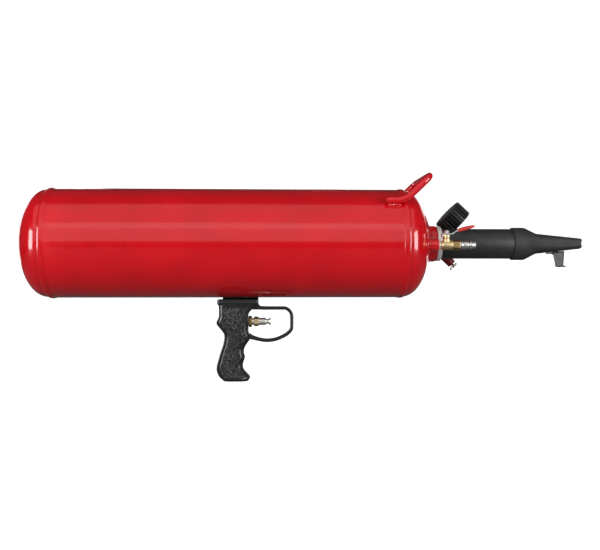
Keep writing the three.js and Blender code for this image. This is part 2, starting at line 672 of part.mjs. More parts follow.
function gripAndTrigger() {
  const top = TANK_AXIS_Z - TANK_RADIUS - GAP;
  const saddle = rod(-60, 90, TANK_RADIUS + GAP, TANK_SIDES).translate(0, 0, TANK_AXIS_Z);
  const plate = block(
    -13.2, 36.6, -BRACKET_HALF_WIDTH, BRACKET_HALF_WIDTH, COLLAR_TOP_Z + GAP, top + 3);
  const tang = block(
    TANG_REAR_X, TANG_FRONT_X, -TANG_HALF_WIDTH, TANG_HALF_WIDTH, 50, COLLAR_TOP_Z + 1);
  const [upperX, upperZ] = screwPlaces[0];
  piece(part, 'grip_bracket', cut(
    join(plate, tang), saddle, pilotHole(BULKHEAD_RADIUS + GAP), screwHole(upperX, upperZ)), black);

  piece(part, 'grip_near_half', gripHalf(-1), gripBlack);
  piece(part, 'grip_far_half', gripHalf(1), gripBlack);
  screwPlaces.forEach(([x, z], i) => {
    const screw = turned([
      [screwFrom, 0], [screwFrom, SCREW_RADIUS], [screwHead - 2, SCREW_RADIUS],
      [screwHead - 2, SCREW_RADIUS + 1.4], [screwHead, SCREW_RADIUS + 1.4], [screwHead, 0],
    ], 12);
    piece(part, `grip_screw_${i + 1}`, aboutY(screw).translate(x, 0, z), steel);
  });

  // Bulkhead fitting through the bottom of the tank, and the pilot pipe up to it.
  const pipeTop = COLLAR_TOP_Z - 2;
  const lower = TRIGGER_Z + TRIGGER_BODY_RADIUS + GAP;
  const nutBase = TANK_AXIS_Z - SHELL_INNER + 1;
  const bulkhead = turned([
    [pipeTop - 6, PILOT_RADIUS + GAP], [pipeTop - 6, BULKHEAD_RADIUS], [nutBase, BULKHEAD_RADIUS],
    [nutBase, BULKHEAD_RADIUS + 2.5], [nutBase + 5, BULKHEAD_RADIUS + 2.5],
    [nutBase + 12, PILOT_RADIUS + 1.5], [nutBase + 12, PILOT_RADIUS + GAP],
    [pipeTop - 6, PILOT_RADIUS + GAP],
  ], 16);
  piece(part, 'pilot_bulkhead', aboutZ(bulkhead).translate(PILOT_X, 0, 0), brass);
  piece(part, 'pilot_pipe', aboutZ(ring(lower, pipeTop, PILOT_RADIUS - PILOT_WALL, PILOT_RADIUS, 10))
    .translate(PILOT_X, 0, 0), steel);

  const gripFace = 22.4;
  const nutFront = gripFace + 4.9;
  const hexBack = nutFront + 2.9;
  const hexFront = hexBack + 6.6;
  const barrelFront = hexFront + 10.3;
  const chamber = 16;
  piece(trigger, 'trigger_nut', cut(
    hexRod(gripFace + GAP, nutFront, 16), rod(0, 60, TRIGGER_NECK_RADIUS + GAP, 16)), nickel);
  const bodyOutside = join(
    rod(1, 19, TRIGGER_BODY_RADIUS, 16),
    rod(18, hexBack, TRIGGER_NECK_RADIUS, 16),
    hexRod(hexBack, hexFront, 13.7),
    rod(hexFront - 1, barrelFront, TRIGGER_NECK_RADIUS + 0.3, ROUND),
  );
  piece(trigger, 'trigger_valve_body', cut(
    bodyOutside,
    rod(chamber, 90, TRIGGER_BORE, 16),
    rod(4, chamber + 1, 1.5, 10),
    aboutZ(rod(0, 20, 1.5, 10)).translate(PILOT_X, 0, 0),
  ), nickel);

  const stem = TRIGGER_BORE - GAP;
  const headBack = barrelFront + TRIGGER_TRAVEL + 0.7;
  const stemBack = chamber + TRIGGER_TRAVEL + 10;
  piece(trigger, 'trigger_plunger', turned([
    [stemBack, 0], [stemBack, stem], [stemBack + 4, stem], [stemBack + 4, stem - 1.4],
    [stemBack + 6.6, stem - 1.4], [stemBack + 6.6, stem], [headBack, stem],
    [headBack, 4.9], [headBack + 2.5, 5.4], [headBack + 2.5, 4.2], [headBack + 1.7, 0],
  ], ROUND), steel);
  piece(trigger, 'trigger_o_ring', ring(
    stemBack + 4 + GAP, stemBack + 6.6 - GAP, stem - 1.1, stem, 16), rubber);
  piece(trigger, 'trigger_spring', spring(
    chamber + GAP, stemBack - GAP, TRIGGER_BORE - GAP, 0.5, 5), steel);
}

// ---------------------------------------------------------------- fill valve

function fillValve() {
  const start = SIDE_FACE + 2;
  const ballX = start + BALL_RADIUS + BALL_BACK;
  const mouth = ballX + BALL_RADIUS + BALL_FRONT;
  const cavity = BALL_RADIUS + 0.7;
  const shell = cavity + 1.3;
  const bonnetTop = BALL_RADIUS + 9.5;
  const stemHole = STEM_RADIUS + GAP;
  const body = join(
    rod(start - 12, start + 1, SIDE_THREAD_RADIUS, 16),
    rod(start, mouth, shell, ROUND),
    aboutZ(rod(0, bonnetTop, 5, ROUND)).translate(ballX, 0, 0),
  );
  piece(fill, 'fill_valve_body', cut(
    body,
    rod(start - 13, start + 4, FITTING_BORE, 12),
    rod(ballX - BALL_RADIUS - 0.5, mouth + 1, cavity, ROUND),
    aboutZ(rod(0, bonnetTop + 1, stemHole, 12)).translate(ballX, 0, 0),
  ), brass);

  const seatNear = BALL_RADIUS - 1.1;
  const seatFar = BALL_RADIUS + 0.2;
  const seatHole = Math.sqrt(BALL_RADIUS ** 2 - seatNear ** 2) + GAP;
  const seat = (x0, x1) => ring(x0, x1, seatHole, cavity - GAP);
  piece(fill, 'fill_seat_rear', seat(ballX - seatFar, ballX - seatNear), white);
  piece(fill, 'fill_seat_front', seat(ballX + seatNear, ballX + seatFar), white);
  const sphere = new THREE.SphereGeometry(BALL_RADIUS, 12, 8).rotateX(Math.PI / 2);
  const slotFloor = BALL_RADIUS - 1.6;
  piece(fill, 'fill_ball', cut(
    sphere.translate(ballX, 0, 0),
    rod(ballX - 9, ballX + 9, FITTING_BORE, 12),
    block(ballX - 9, ballX + 9, -1, 1, slotFloor, 9),
  ), steel);
  const plateZ = bonnetTop + 0.4;
  const stemTop = plateZ + LEVER_SHEET + 3;
  piece(fill, 'fill_stem', join(
    block(ballX - 1.2, ballX + 1.2, -0.7, 0.7, slotFloor + GAP, BALL_RADIUS + 1.5),
    aboutZ(rod(BALL_RADIUS + 0.6, stemTop, STEM_RADIUS, 12)).translate(ballX, 0, 0),
  ), brass);

  const endX = ballX + LEVER_REACH;
  const sleeveX = endX - 24;
  const low = plateZ;
  const high = low + 6;
  const rise = 5.8;
  const lever = plateXZ([
    [ballX - 6.5, low - 3.5], [ballX - 5, low - 3.5], [ballX - 5, low], [ballX + 7, low],
    [sleeveX, high - LEVER_SHEET], [endX - 2, high + rise - LEVER_SHEET], [endX - 2, high + rise],
    [sleeveX, high], [ballX + 6.5, low + LEVER_SHEET], [ballX - 6.5, low + LEVER_SHEET],
  ], -LEVER_WIDTH / 2, LEVER_WIDTH / 2);
  const stemClear = aboutZ(rod(0, 30, stemHole, 12)).translate(ballX, 0, 0);
  piece(fill, 'fill_lever', cut(lever, stemClear), steel);

  const skin = 1.3;
  const slot = skin + GAP;
  const half = LEVER_WIDTH / 2;
  const sleeveOutline = (grow, from, to) => [
    [from, high - LEVER_SHEET - grow], [to, high + rise - LEVER_SHEET - grow],
    [to, high + rise + grow], [from, high + grow],
  ];
  piece(fill, 'lever_sleeve', cut(
    plateXZ(sleeveOutline(slot, sleeveX, endX), -half - slot, half + slot),
    plateXZ(sleeveOutline(GAP, sleeveX - 1, endX - 1.5), -half - GAP, half + GAP),
  ), leverRed);
  const nutBase = plateZ + LEVER_SHEET + GAP;
  piece(fill, 'lever_nut', cut(
    aboutZ(hexRod(nutBase, nutBase + 4, 7.5)).translate(ballX, 0, 0),
    aboutZ(rod(nutBase - 1, stemTop + GAP, stemHole, 12)).translate(ballX, 0, 0),
  ), steel);

  const hexEnd = mouth + END_LENGTH;
  const insert = cavity - GAP;
  piece(fill, 'fill_valve_end', cut(
    join(rod(ballX + seatFar + GAP, mouth + 1, insert, ROUND), hexRod(mouth + GAP, hexEnd, END_HEX)),
    rod(0, hexEnd + 1, FITTING_BORE, 12),
    rod(hexEnd - 8, hexEnd + 1, SIDE_THREAD_RADIUS + GAP, 16),
  ), brass);

  const plug = hexEnd + GAP;
  piece(fill, 'fill_plug', turned([
    [plug - 7, FITTING_BORE], [plug - 7, SIDE_THREAD_RADIUS], [plug, SIDE_THREAD_RADIUS],
    [plug, 5.6], [plug + 10.9, 5.6], [plug + 11.6, 4.5], [plug + 13.6, 4.5], [plug + 13.6, 5.75],
    [plug + 16.3, 5.75], [plug + 16.9, 4.85], [plug + 21.9, 4.3], [plug + 21.9, FITTING_BORE],
    [plug - 7, FITTING_BORE],
  ], ROUND), steel);
}

// ---------------------------------------------------------------- gauge and relief valve

function gaugeAndRelief() {
  const hub = SIDE_FACE + HUB_REACH;
  const tilted = (geometry, degrees) => geometry
    .rotateY(-THREE.MathUtils.degToRad(degrees)).translate(hub, 0, 0);
  const threadBore = SIDE_THREAD_RADIUS + GAP;
  const branch = (degrees) => tilted(rod(0, BRANCH_LENGTH, BRANCH_RADIUS, ROUND), degrees);
  const branchBores = (degrees) => [
    tilted(rod(0, BRANCH_LENGTH + 1, FITTING_BORE, 12), degrees),
    tilted(rod(BRANCH_LENGTH - 7, BRANCH_LENGTH + 1, threadBore, 16), degrees),
  ];
  piece(gaugeSide, 'gauge_manifold', cut(
    join(
      rod(SIDE_FACE - 10, hub, SIDE_THREAD_RADIUS, 16),
      rod(SIDE_FACE + GAP, hub + 5, MANIFOLD_RADIUS, ROUND),
      branch(GAUGE_TILT),
      branch(RELIEF_TILT),
    ),
    rod(SIDE_FACE - 11, hub, FITTING_BORE, 12),
    ...branchBores(GAUGE_TILT),
    ...branchBores(RELIEF_TILT),
  ), red);

  // Gauge: +X of this group runs up the gauge stem and +Z comes out of the dial.
  const stemFrame = frameAt(gaugeSide, hub, 0, 0, GAUGE_TILT);
  const dialFrame = frameAt(stemFrame, GAUGE_DISTANCE, 0, 0);
  const caseBack = -9;
  const caseFront = 9;
  const caseWall = 1.2;
  const caseInner = CASE_RADIUS - caseWall;
  const stemEnd = BRANCH_LENGTH - GAUGE_DISTANCE;
  const cup = aboutZ(turned([
    [caseBack, 0], [caseBack, CASE_RADIUS], [caseFront, CASE_RADIUS], [caseFront, caseInner],
    [caseBack + caseWall, caseInner], [caseBack + caseWall, 0],
  ], FINE));
  piece(dialFrame, 'gauge_case', cut(
    join(
      cup,
      hexRod(stemEnd + GAP, -CASE_RADIUS + 1, 12),
      rod(stemEnd - 6, stemEnd + 1, SIDE_THREAD_RADIUS, 16),
    ),
    rod(-GAUGE_DISTANCE, -CASE_RADIUS + 3, 1.6, 10),
  ), black);

  const bootInner = CASE_RADIUS + GAP;
  const bootOuter = bootInner + BOOT_WALL;
  const bootFront = BOOT_DEPTH / 2;
  const lipInner = CASE_RADIUS - 3;
  const stemSlot = 7;
  const lensTop = bootFront + 2;
  piece(dialFrame, 'gauge_boot', cut(
    aboutZ(turned([
      [-bootFront, 0], [-bootFront, bootOuter - 2], [-bootFront + 2, bootOuter],
      [bootFront - 2, bootOuter], [bootFront, bootOuter - 2], [bootFront, lipInner],
      [caseFront + GAP, lipInner], [caseFront + GAP, bootInner], [caseBack - GAP, bootInner],
      [caseBack - GAP, 0],
    ], FINE)),
    rod(-bootOuter - 2, -CASE_RADIUS + 4, stemSlot, 16),
  ), rubber);
  piece(dialFrame, 'gauge_dial', aboutZ(ring(3.5, 4.5, 1.2, caseInner - 1, FINE)), white);
  const flange = caseInner - GAP;
  piece(dialFrame, 'gauge_lens', aboutZ(turned([
    [7.2, 0], [7.2, flange], [caseFront, flange], [caseFront, lipInner - GAP],
    [bootFront + 0.6, lipInner - GAP - 0.6], [lensTop, lipInner - 5], [lensTop, 0],
  ], FINE)), clear);
  const tip = CASE_RADIUS - 6.5;
  piece(dialFrame, 'gauge_needle', join(
    aboutZ(rod(1.5, 6.4, 0.8, 10)),
    aboutZ(rod(5, 6.2, 2, 12)),
    plateXZ([[-3.5, -0.9], [-3.5, 0.9], [tip, 0.3], [tip, -0.3]], -0.3, 0.3)
      .rotateX(Math.PI / 2).translate(0, 0, 5.6).rotateZ(THREE.MathUtils.degToRad(225)),
  ), black);

  class TubeArc extends THREE.Curve {
    getPoint(t, target = new THREE.Vector3()) {
      const angle = Math.PI + t * Math.PI * 1.4;
      const r = CASE_RADIUS - 7;
      return target.set(r * Math.cos(angle), r * Math.sin(angle), -3.5);
    }
  }
  piece(dialFrame, 'bourdon_tube', bar(new TubeArc(), 2, 12, 6), brass);

  // Relief valve: +X of this group runs down and forward, away from the manifold.
  const relief = frameAt(gaugeSide, hub, 0, 0, RELIEF_TILT);
  const bodyStart = BRANCH_LENGTH + GAP;
  const stemR = 1.5;
  const springBore = 4.2;
  const seatX = bodyStart + 5;
  const sealX = seatX + GAP;
  const discX = sealX + 2.5;
  const endWall = RELIEF_LENGTH - 3;
  piece(relief, 'relief_body', cut(
    join(
      rod(bodyStart - 6.5, bodyStart + 1, SIDE_THREAD_RADIUS, 16),
      hexRod(bodyStart, bodyStart + 5, RELIEF_HEX),
      turned([
        [bodyStart + 4, 0], [bodyStart + 4, RELIEF_RADIUS], [bodyStart + 6, RELIEF_RADIUS],
        [RELIEF_LENGTH, RELIEF_END_RADIUS], [RELIEF_LENGTH, 0],
      ], ROUND),
    ),
    rod(bodyStart - 8, seatX + 1, 1.9, 12),
    rod(seatX, endWall, springBore, 16),
    rod(endWall - 1, RELIEF_LENGTH + 1, stemR + GAP, 12),
  ), darkRed);
  const eye = RELIEF_LENGTH + 2.8;
  const eyeRadius = 2.2;
  piece(relief, 'relief_stem', cut(
    join(
      rod(sealX, discX, springBore - GAP, 16),
      rod(discX - 1, eye, stemR, 12),
      rod(eye - 2.4, eye + 2.4, eyeRadius, 12),
    ),
    aboutZ(rod(-5, 5, RING_WIRE + 0.55, 12)).translate(eye, 0, 0),
  ), brass);
  piece(relief, 'relief_spring', spring(
    discX + GAP, endWall - GAP, springBore - GAP, 0.5, 5), steel);

  // The pull ring passes through the stem's eye and lies swung to the side.
  const hang = frameAt(relief, eye, 0, 0);
  hang.rotation.z = THREE.MathUtils.degToRad(RING_SWING);
  const loop = new THREE.TorusGeometry(RING_RADIUS, RING_WIRE, 5, 20)
    .rotateX(Math.PI / 2).translate(RING_RADIUS, 0, 0);
  piece(hang, 'relief_ring', loop, steel);
}

tank();
handle();
blastValve();
barrelAndNozzle();
gripAndTrigger();
fillValve();
gaugeAndRelief();

export default part;
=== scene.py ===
import json
import random
from math import asin, atan2, cos, exp, pi, radians, sin, sqrt, tan, tau

import bmesh
import bpy
from bpy.props import FloatProperty, FloatVectorProperty, IntProperty, PointerProperty
from mathutils import Matrix, Vector


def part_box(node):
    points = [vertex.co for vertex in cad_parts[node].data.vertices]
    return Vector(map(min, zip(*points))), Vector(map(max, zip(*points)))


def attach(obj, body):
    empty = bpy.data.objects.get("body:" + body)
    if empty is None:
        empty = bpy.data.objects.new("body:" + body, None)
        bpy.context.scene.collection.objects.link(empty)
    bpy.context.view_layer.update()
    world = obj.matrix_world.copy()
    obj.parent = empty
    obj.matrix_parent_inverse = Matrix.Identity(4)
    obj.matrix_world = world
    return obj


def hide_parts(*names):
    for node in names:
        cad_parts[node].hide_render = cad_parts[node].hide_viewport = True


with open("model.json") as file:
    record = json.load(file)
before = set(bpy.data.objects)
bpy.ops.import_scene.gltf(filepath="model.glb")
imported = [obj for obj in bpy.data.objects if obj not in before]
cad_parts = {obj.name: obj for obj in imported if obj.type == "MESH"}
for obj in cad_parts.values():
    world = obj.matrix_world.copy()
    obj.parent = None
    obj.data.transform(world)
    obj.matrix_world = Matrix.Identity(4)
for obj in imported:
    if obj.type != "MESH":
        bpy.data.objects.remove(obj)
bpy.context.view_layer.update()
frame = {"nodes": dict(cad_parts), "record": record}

bl_info = {
    "name": "Bead Seater",
    "version": (1, 0, 0),
    "blender": (4, 5, 0),
    "location": "3D View > Sidebar > Bead Seater",
    "description": "Builds the finished look of a hand-held bead seater around its packed parts",
    "category": "Object",
}

MM = 0.001
SEED = 7


# ---------------------------------------------------------------- the frame's places and axes

def low(node):
    return Vector(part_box(node)[0])


def high(node):
    return Vector(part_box(node)[1])


def middle(node):
    return (low(node) + high(node)) / 2


JOINTS = {joint["name"]: joint for joint in frame["record"]["behaviour"]["joints"]}

TANK_AXIS = Vector((0, 0, middle("tank_shell").z))
FILL_AXIS = Vector((0, middle("fill_boss").y, middle("fill_boss").z))
GAUGE_AXIS = Vector((0, middle("gauge_boss").y, middle("gauge_boss").z))
TRIGGER_AXIS = Vector((0, 0, middle("trigger_nut").z))
TANK_RADIUS = (high("tank_shell").z - low("tank_shell").z) / 2
HEAD_RADIUS = (high("rear_head").z - low("rear_head").z) / 2
REAR_SEAM = low("tank_shell").x
FRONT_SEAM = high("tank_shell").x
FRONT_TANGENT = high("front_head").x - TANK_RADIUS / 2
REAR_TANGENT = low("rear_head").x + TANK_RADIUS / 2
GAUGE_CENTRE = Vector(JOINTS["needle_turn"]["pos_m"])
GAUGE_NORMAL = -Vector(JOINTS["needle_turn"]["axis"])
RELIEF_DIRECTION = Vector(JOINTS["relief_lift"]["axis"])
RING_EYE = Vector(JOINTS["ring_swing"]["pos_m"])
BALL_X = JOINTS["fill_lever_turn"]["pos_m"][0]


def frame_along(place, along, up=Vector((0, 0, 1))):
    """A matrix whose +X runs along a direction and whose +Z is as near as it can be to up."""
    x = Vector(along).normalized()
    y = Vector(up).cross(x).normalized()
    z = x.cross(y)
    turn = Matrix((x, y, z)).transposed().to_4x4()
    return Matrix.Translation(place) @ turn


ON_TANK = Matrix.Translation(TANK_AXIS)
ON_FILL = Matrix.Translation(FILL_AXIS)
ON_GAUGE_SIDE = Matrix.Translation(GAUGE_AXIS)
ON_TRIGGER = Matrix.Translation(TRIGGER_AXIS)
GAUGE_STEM = Vector((GAUGE_NORMAL.z, 0, -GAUGE_NORMAL.x))
ON_DIAL = frame_along(GAUGE_CENTRE, GAUGE_STEM, GAUGE_NORMAL)
HUB = GAUGE_CENTRE - GAUGE_STEM * ((GAUGE_CENTRE.z - GAUGE_AXIS.z) / GAUGE_STEM.z)
ON_RELIEF = frame_along(HUB, RELIEF_DIRECTION)
ON_STEM = frame_along(HUB, GAUGE_STEM)
Z_TO_X = Matrix.Rotation(-pi / 2, 4, "Y")


# ---------------------------------------------------------------- settings

def length(name, description, default, low_end=0.0, high_end=1.0):
    return FloatProperty(
        name=name, description=description, default=default, min=low_end, max=high_end,
        unit="LENGTH", precision=5)


def share(name, description, default):
    return FloatProperty(
        name=name, description=description, default=default, min=0.0, max=1.0, subtype="FACTOR")


def colour(name, description, default):
    return FloatVectorProperty(
        name=name, description=description, default=default, size=3, min=0.0, max=1.0,
        subtype="COLOR")


class BEADSEATER_PG_tank(bpy.types.PropertyGroup):
    paint: colour("Paint", "Gloss paint on the tank and its handle", (0.61, 0.0035, 0.009))
    paint_roughness: share("Paint roughness", "Roughness of the gloss paint", 0.16)
    wall: length("Wall", "Sheet thickness of the shell and heads", 0.0025)
    bead_ripple: length("Bead ripple", "Height of the ripples on the weld beads", 0.00012)
    label_length: length("Label length", "Length of the blank rating label", 0.041)
    label_width: length("Label width", "Width of the blank rating label", 0.018)


class BEADSEATER_PG_barrel(bpy.types.PropertyGroup):
    barrel_colour: colour("Barrel", "Satin coating on the barrel", (0.022, 0.023, 0.025))
    nozzle_colour: colour("Nozzle", "Matt coating on the nozzle", (0.022, 0.023, 0.024))
    hook_colour: colour("Hook", "Finish of the rim hook", (0.060, 0.062, 0.068))
    nozzle_wall: length("Nozzle wall", "Thickness of the nozzle", 0.0022)
    tip_notch: length("Tip notch", "Depth of the notch across the tip", 0.0022)
    sheet: length("Hook sheet", "Thickness of the hook's sheet", 0.002)


class BEADSEATER_PG_grip(bpy.types.PropertyGroup):
    plastic: colour("Plastic", "Moulded grip", (0.014, 0.0145, 0.015))
    stipple_size: length("Stipple", "Size of the grains in the grip's panels", 0.0014)
    stipple_depth: length("Stipple depth", "Height of those grains", 0.00032)
    guard_bar: length("Guard bar", "Thickness of the trigger guard", 0.0048)
    parting: length("Parting line", "Gap between the two halves", 0.00016)


class BEADSEATER_PG_fittings(bpy.types.PropertyGroup):
    brass: colour("Brass", "Valve brass", (0.86, 0.66, 0.36))
    nickel: colour("Nickel", "Plated trigger valve", (0.95, 0.92, 0.84))
    steel: colour("Steel", "Plated steel", (0.82, 0.81, 0.80))
    sleeve: colour("Sleeve", "Soft sleeve on the lever", (0.60, 0.035, 0.028))
    # The fittings' red is the tank's red made darker: painted shade for the shadow the fittings sit in.
    casting_red_painted_shade: colour("Fitting red", "Paint on the manifold and relief valve", (0.26, 0.004, 0.010))
    chamfer: length("Chamfer", "Edge break on turned fittings", 0.0004)


class BEADSEATER_PG_gauge(bpy.types.PropertyGroup):
    ribs: IntProperty(name="Ribs", description="Ribs round the rubber boot", default=28, min=8, max=90)
    rib_height: length("Rib height", "Height of each rib", 0.002)
    rubber: colour("Rubber", "Boot rubber", (0.012, 0.012, 0.013))
    full_scale: IntProperty(name="Full scale", description="Highest number on the dial", default=12,
                            min=4, max=30)


class BEADSEATER_PG_studio(bpy.types.PropertyGroup):
    backdrop: colour("Backdrop", "Pale floor and sweep", (0.93, 0.93, 0.93))
    glow: share("Backdrop glow", "Light that the camera sees from the backdrop itself", 0.95)
    distance: length("Camera distance", "From the camera to the tank's axis", 1.175, 0.1, 5.0)
    height: length("Camera height", "Camera above the palm", 0.1056, -1.0, 2.0)
    yaw: FloatProperty(name="Yaw", description="Camera turned towards the rear head",
                       default=radians(2.74), subtype="ANGLE")
    aim: length("Aim", "Point on the tank's axis that the camera faces", 0.095, -1.0, 1.0)


# ---------------------------------------------------------------- mesh code

def bridge(a, b):
    """Faces between two rings of vertex numbers; a ring of one is a pole."""
    count = max(len(a), len(b))
    faces = []
    for k in range(count):
        n = (k + 1) % count
        if len(a) == 1:
            faces.append((a[0], b[n], b[k]))
        elif len(b) == 1:
            faces.append((a[k], a[n], b[0]))
        else:
            faces.append((a[k], a[n], b[n], b[k]))
    return faces


def rounded(points, reach, steps=4, closed=False):
    """The same outline with its corners rounded, each trimmed by reach on both sides."""
    points = [Vector(p) for p in points]
    count = len(points)
    result = []
    for i, point in enumerate(points):
        if not closed and i in (0, count - 1):
            result.append(point)
            continue
        back = points[i - 1] - point
        ahead = points[(i + 1) % count] - point
        trim = min(reach, back.length * 0.45, ahead.length * 0.45)
        start = point + back.normalized() * trim
        end = point + ahead.normalized() * trim
        for s in range(steps + 1):
            t = s / steps
            result.append(start * (1 - t) ** 2 + point * 2 * t * (1 - t) + end * t ** 2)
    return result


def revolve(profile, segments=72, closed=False, shape=None):
    """(station, radius) pairs turned about X; shape(x, r, angle) may vary the radius."""
    verts = []
    rings = []
    for x, r in profile:
        if r < 1e-7:
            rings.append([len(verts)])
            verts.append(Vector((x, 0, 0)))
            continue
        ring = []
        for k in range(segments):
            angle = tau * k / segments
            here = shape(x, r, angle) if shape else r
            ring.append(len(verts))
            verts.append(Vector((x, here * cos(angle), here * sin(angle))))
        rings.append(ring)
    faces = []
    for a, b in zip(rings, rings[1:]):
        faces += bridge(a, b)
    if closed:
        faces += bridge(rings[-1], rings[0])
    return verts, faces


def pairs(points):
    return [(p[0], p[1]) for p in points]


def at(base, *points):
    """(station, radius) points given in millimetres from a base station in metres."""
    return [(base + x * MM, r * MM) for x, r in points]


def turned(outline, chamfer=0.4 * MM, segments=72):
    """A turned piece with eased edges. An outline that ends off the axis closes on itself."""
    solid = outline[0][1] < 1e-7
    profile = rounded(outline, chamfer, 3, closed=not solid)
    return revolve(pairs(profile), segments, not solid)


def tube(x0, x1, inner, outer, chamfer=0.4 * MM, segments=72):
    return turned([(x0, inner), (x0, outer), (x1, outer), (x1, inner)], chamfer, segments)


def loft(rings, looped=False):
    """A skin over rings of points, closed on itself or with a cap at both ends."""
    verts = []
    loops = []
    for ring in rings:
        loops.append(list(range(len(verts), len(verts) + len(ring))))
        verts += [Vector(p) for p in ring]
    faces = []
    for a, b in zip(loops, loops[1:]):
        faces += bridge(a, b)
    if looped:
        faces += bridge(loops[-1], loops[0])
    else:
        faces.append(tuple(reversed(loops[0])))
        faces.append(tuple(loops[-1]))
    return verts, faces


def sweep(path, section, up=Vector((0, 1, 0)), looped=False, size=None):
    """A section of (side, up) points carried along a path without twisting."""
    path = [Vector(p) for p in path]
    count = len(path)
    rings = []
    side = None
    for i, point in enumerate(path):
        before = path[i - 1] if looped or i else point
        after = path[(i + 1) % count] if looped or i + 1 < count else point
        along = (after - before).normalized()
        if side is None:
            side = along.cross(up).normalized()
        side = (side - along * side.dot(along)).normalized()
        lift = side.cross(along)
        grow = size(i / (count - 1)) if size else 1.0
        rings.append([point + (side * a + lift * b) * grow for a, b in section])
    return loft(rings, looped=looped)


def circle(radius, sides=24):
    return [(radius * cos(tau * k / sides), radius * sin(tau * k / sides)) for k in range(sides)]


def squared(value, power):
    """A sine or cosine bent towards a square as the power grows; a power of 2 leaves it."""
    return abs(value) ** (2 / power) * (1 if value >= 0 else -1)


def superellipse(a, b, power, sides):
    angles = [tau * k / sides for k in range(sides)]
    return [(a * squared(cos(angle), power), b * squared(sin(angle), power)) for angle in angles]


def plate(outline, y0, y1):
    """A flat piece whose outline is in X and Z."""
    front = [Vector((x, y0, z)) for x, z in outline]
    back = [Vector((x, y1, z)) for x, z in outline]
    return loft([front, back])


def moved(shape, matrix):
    verts, faces = shape
    return [matrix @ v for v in verts], faces


def joined(*shapes):
    verts = []
    faces = []
    for more_verts, more_faces in shapes:
        start = len(verts)
        verts += more_verts
        faces += [tuple(start + i for i in face) for face in more_faces]
    return verts, faces


def hex_nut(x0, x1, across_flats, bore, chamfer=0.35 * MM):
    """A hexagonal nut with a round bore, its corners broken by a cone at both ends."""
    half_flats = across_flats / 2
    cone_rise = 1.7

    def shape(x, r, angle):
        if r < across_flats * 0.4:
            return r
        flat = half_flats / cos((angle + pi / 6) % (pi / 3) - pi / 6)
        cone = half_flats + min(x - x0, x1 - x) * cone_rise
        return min(flat, max(cone, half_flats * 0.96))

    corner = half_flats / cos(pi / 6)
    stations = [x0, x0 + chamfer, x0 + 3 * chamfer, x1 - 3 * chamfer, x1 - chamfer, x1]
    outline = [(x, corner) for x in stations]
    return revolve(outline + [(x1, bore), (x0, bore)], 96, True, shape)


def smooth_path(points, reach, steps, spacing):
    """A path with rounded corners, its points no further apart than about the spacing."""
    path = rounded(points, reach, steps)
    dense = [path[0]]
    for a, b in zip(path, path[1:]):
        parts = max(1, int((b - a).length / spacing + 0.5))
        dense += [a.lerp(b, (k + 1) / parts) for k in range(parts)]
    return dense


def put(name, data):
    made = bpy.data.objects.new(name, data)
    bpy.context.scene.collection.objects.link(made)
    return made


def piece(name, shape, material, replaces=(), body="tank", sharp=35, bevel=0.0,
          more_materials=(), choose=None):
    """Make a mesh object, give it its material, and set it on its body."""
    verts, faces = shape
    mesh = bpy.data.meshes.new(name)
    mesh.from_pydata([tuple(v) for v in verts], [], faces)
    edit = bmesh.new()
    edit.from_mesh(mesh)
    bmesh.ops.remove_doubles(edit, verts=edit.verts, dist=1e-6)
    bmesh.ops.recalc_face_normals(edit, faces=edit.faces)
    edit.to_mesh(mesh)
    edit.free()
    mesh.validate()
    for m in (material, *more_materials):
        mesh.materials.append(m)
    if choose:
        for polygon in mesh.polygons:
            polygon.material_index = choose(polygon.center, polygon.normal)
    mesh.shade_smooth()
    mesh.set_sharp_from_angle(angle=radians(sharp))
    made = put(name, mesh)
    if bevel > 0:
        edge = made.modifiers.new("edge", "BEVEL")
        edge.width = bevel
        edge.segments = 3
        edge.limit_method = "ANGLE"
        edge.angle_limit = radians(40)
        edge.harden_normals = True
    if replaces:
        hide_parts(*replaces)
    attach(made, body)
    return made


# ---------------------------------------------------------------- shader code

def feed(tree, node, **values):
    """Fill a node's inputs, each with a number, a colour or another node's output."""
    for key, value in values.items():
        connect(tree, node.inputs[key.replace("_", " ")], value)


def connect(tree, socket, value):
    if isinstance(value, bpy.types.NodeSocket):
        tree.links.new(value, socket)
    else:
        socket.default_value = value


def add(tree, kind, settings=None, **values):
    """Add a shader node, set its own properties and fill its inputs."""
    made = tree.nodes.new(kind)
    for key, value in (settings or {}).items():
        setattr(made, key, value)
    feed(tree, made, **values)
    return made


def math_node(tree, operation, a, b=0.0, clamp=False):
    made = add(tree, "ShaderNodeMath", {"operation": operation, "use_clamp": clamp})
    for socket, value in zip(made.inputs, (a, b)):
        connect(tree, socket, value)
    return made.outputs[0]


def mix_colour(tree, factor, a, b):
    made = add(tree, "ShaderNodeMix", {"data_type": "RGBA"})
    for number, value in ((0, factor), (6, a), (7, b)):
        connect(tree, made.inputs[number], value)
    return made.outputs[2]


def map_range(tree, value, from_low, from_high, to_low, to_high):
    made = add(tree, "ShaderNodeMapRange", Value=value, From_Min=from_low, From_Max=from_high,
               To_Min=to_low, To_Max=to_high)
    return made.outputs[0]


def rgba(rgb, factor=1.0):
    return (rgb[0] * factor, rgb[1] * factor, rgb[2] * factor, 1.0)


def new_group(name, inputs, outputs):
    group = bpy.data.node_groups.new(name, "ShaderNodeTree")
    for socket_name, kind, default in inputs:
        socket = group.interface.new_socket(socket_name, in_out="INPUT", socket_type=kind)
        socket.default_value = default
    for socket_name, kind in outputs:
        group.interface.new_socket(socket_name, in_out="OUTPUT", socket_type=kind)
    start = group.nodes.new("NodeGroupInput")
    end = group.nodes.new("NodeGroupOutput")
    return group, start, end


def use_group(tree, name, **inputs):
    return add(tree, "ShaderNodeGroup", {"node_tree": bpy.data.node_groups[name]}, **inputs)


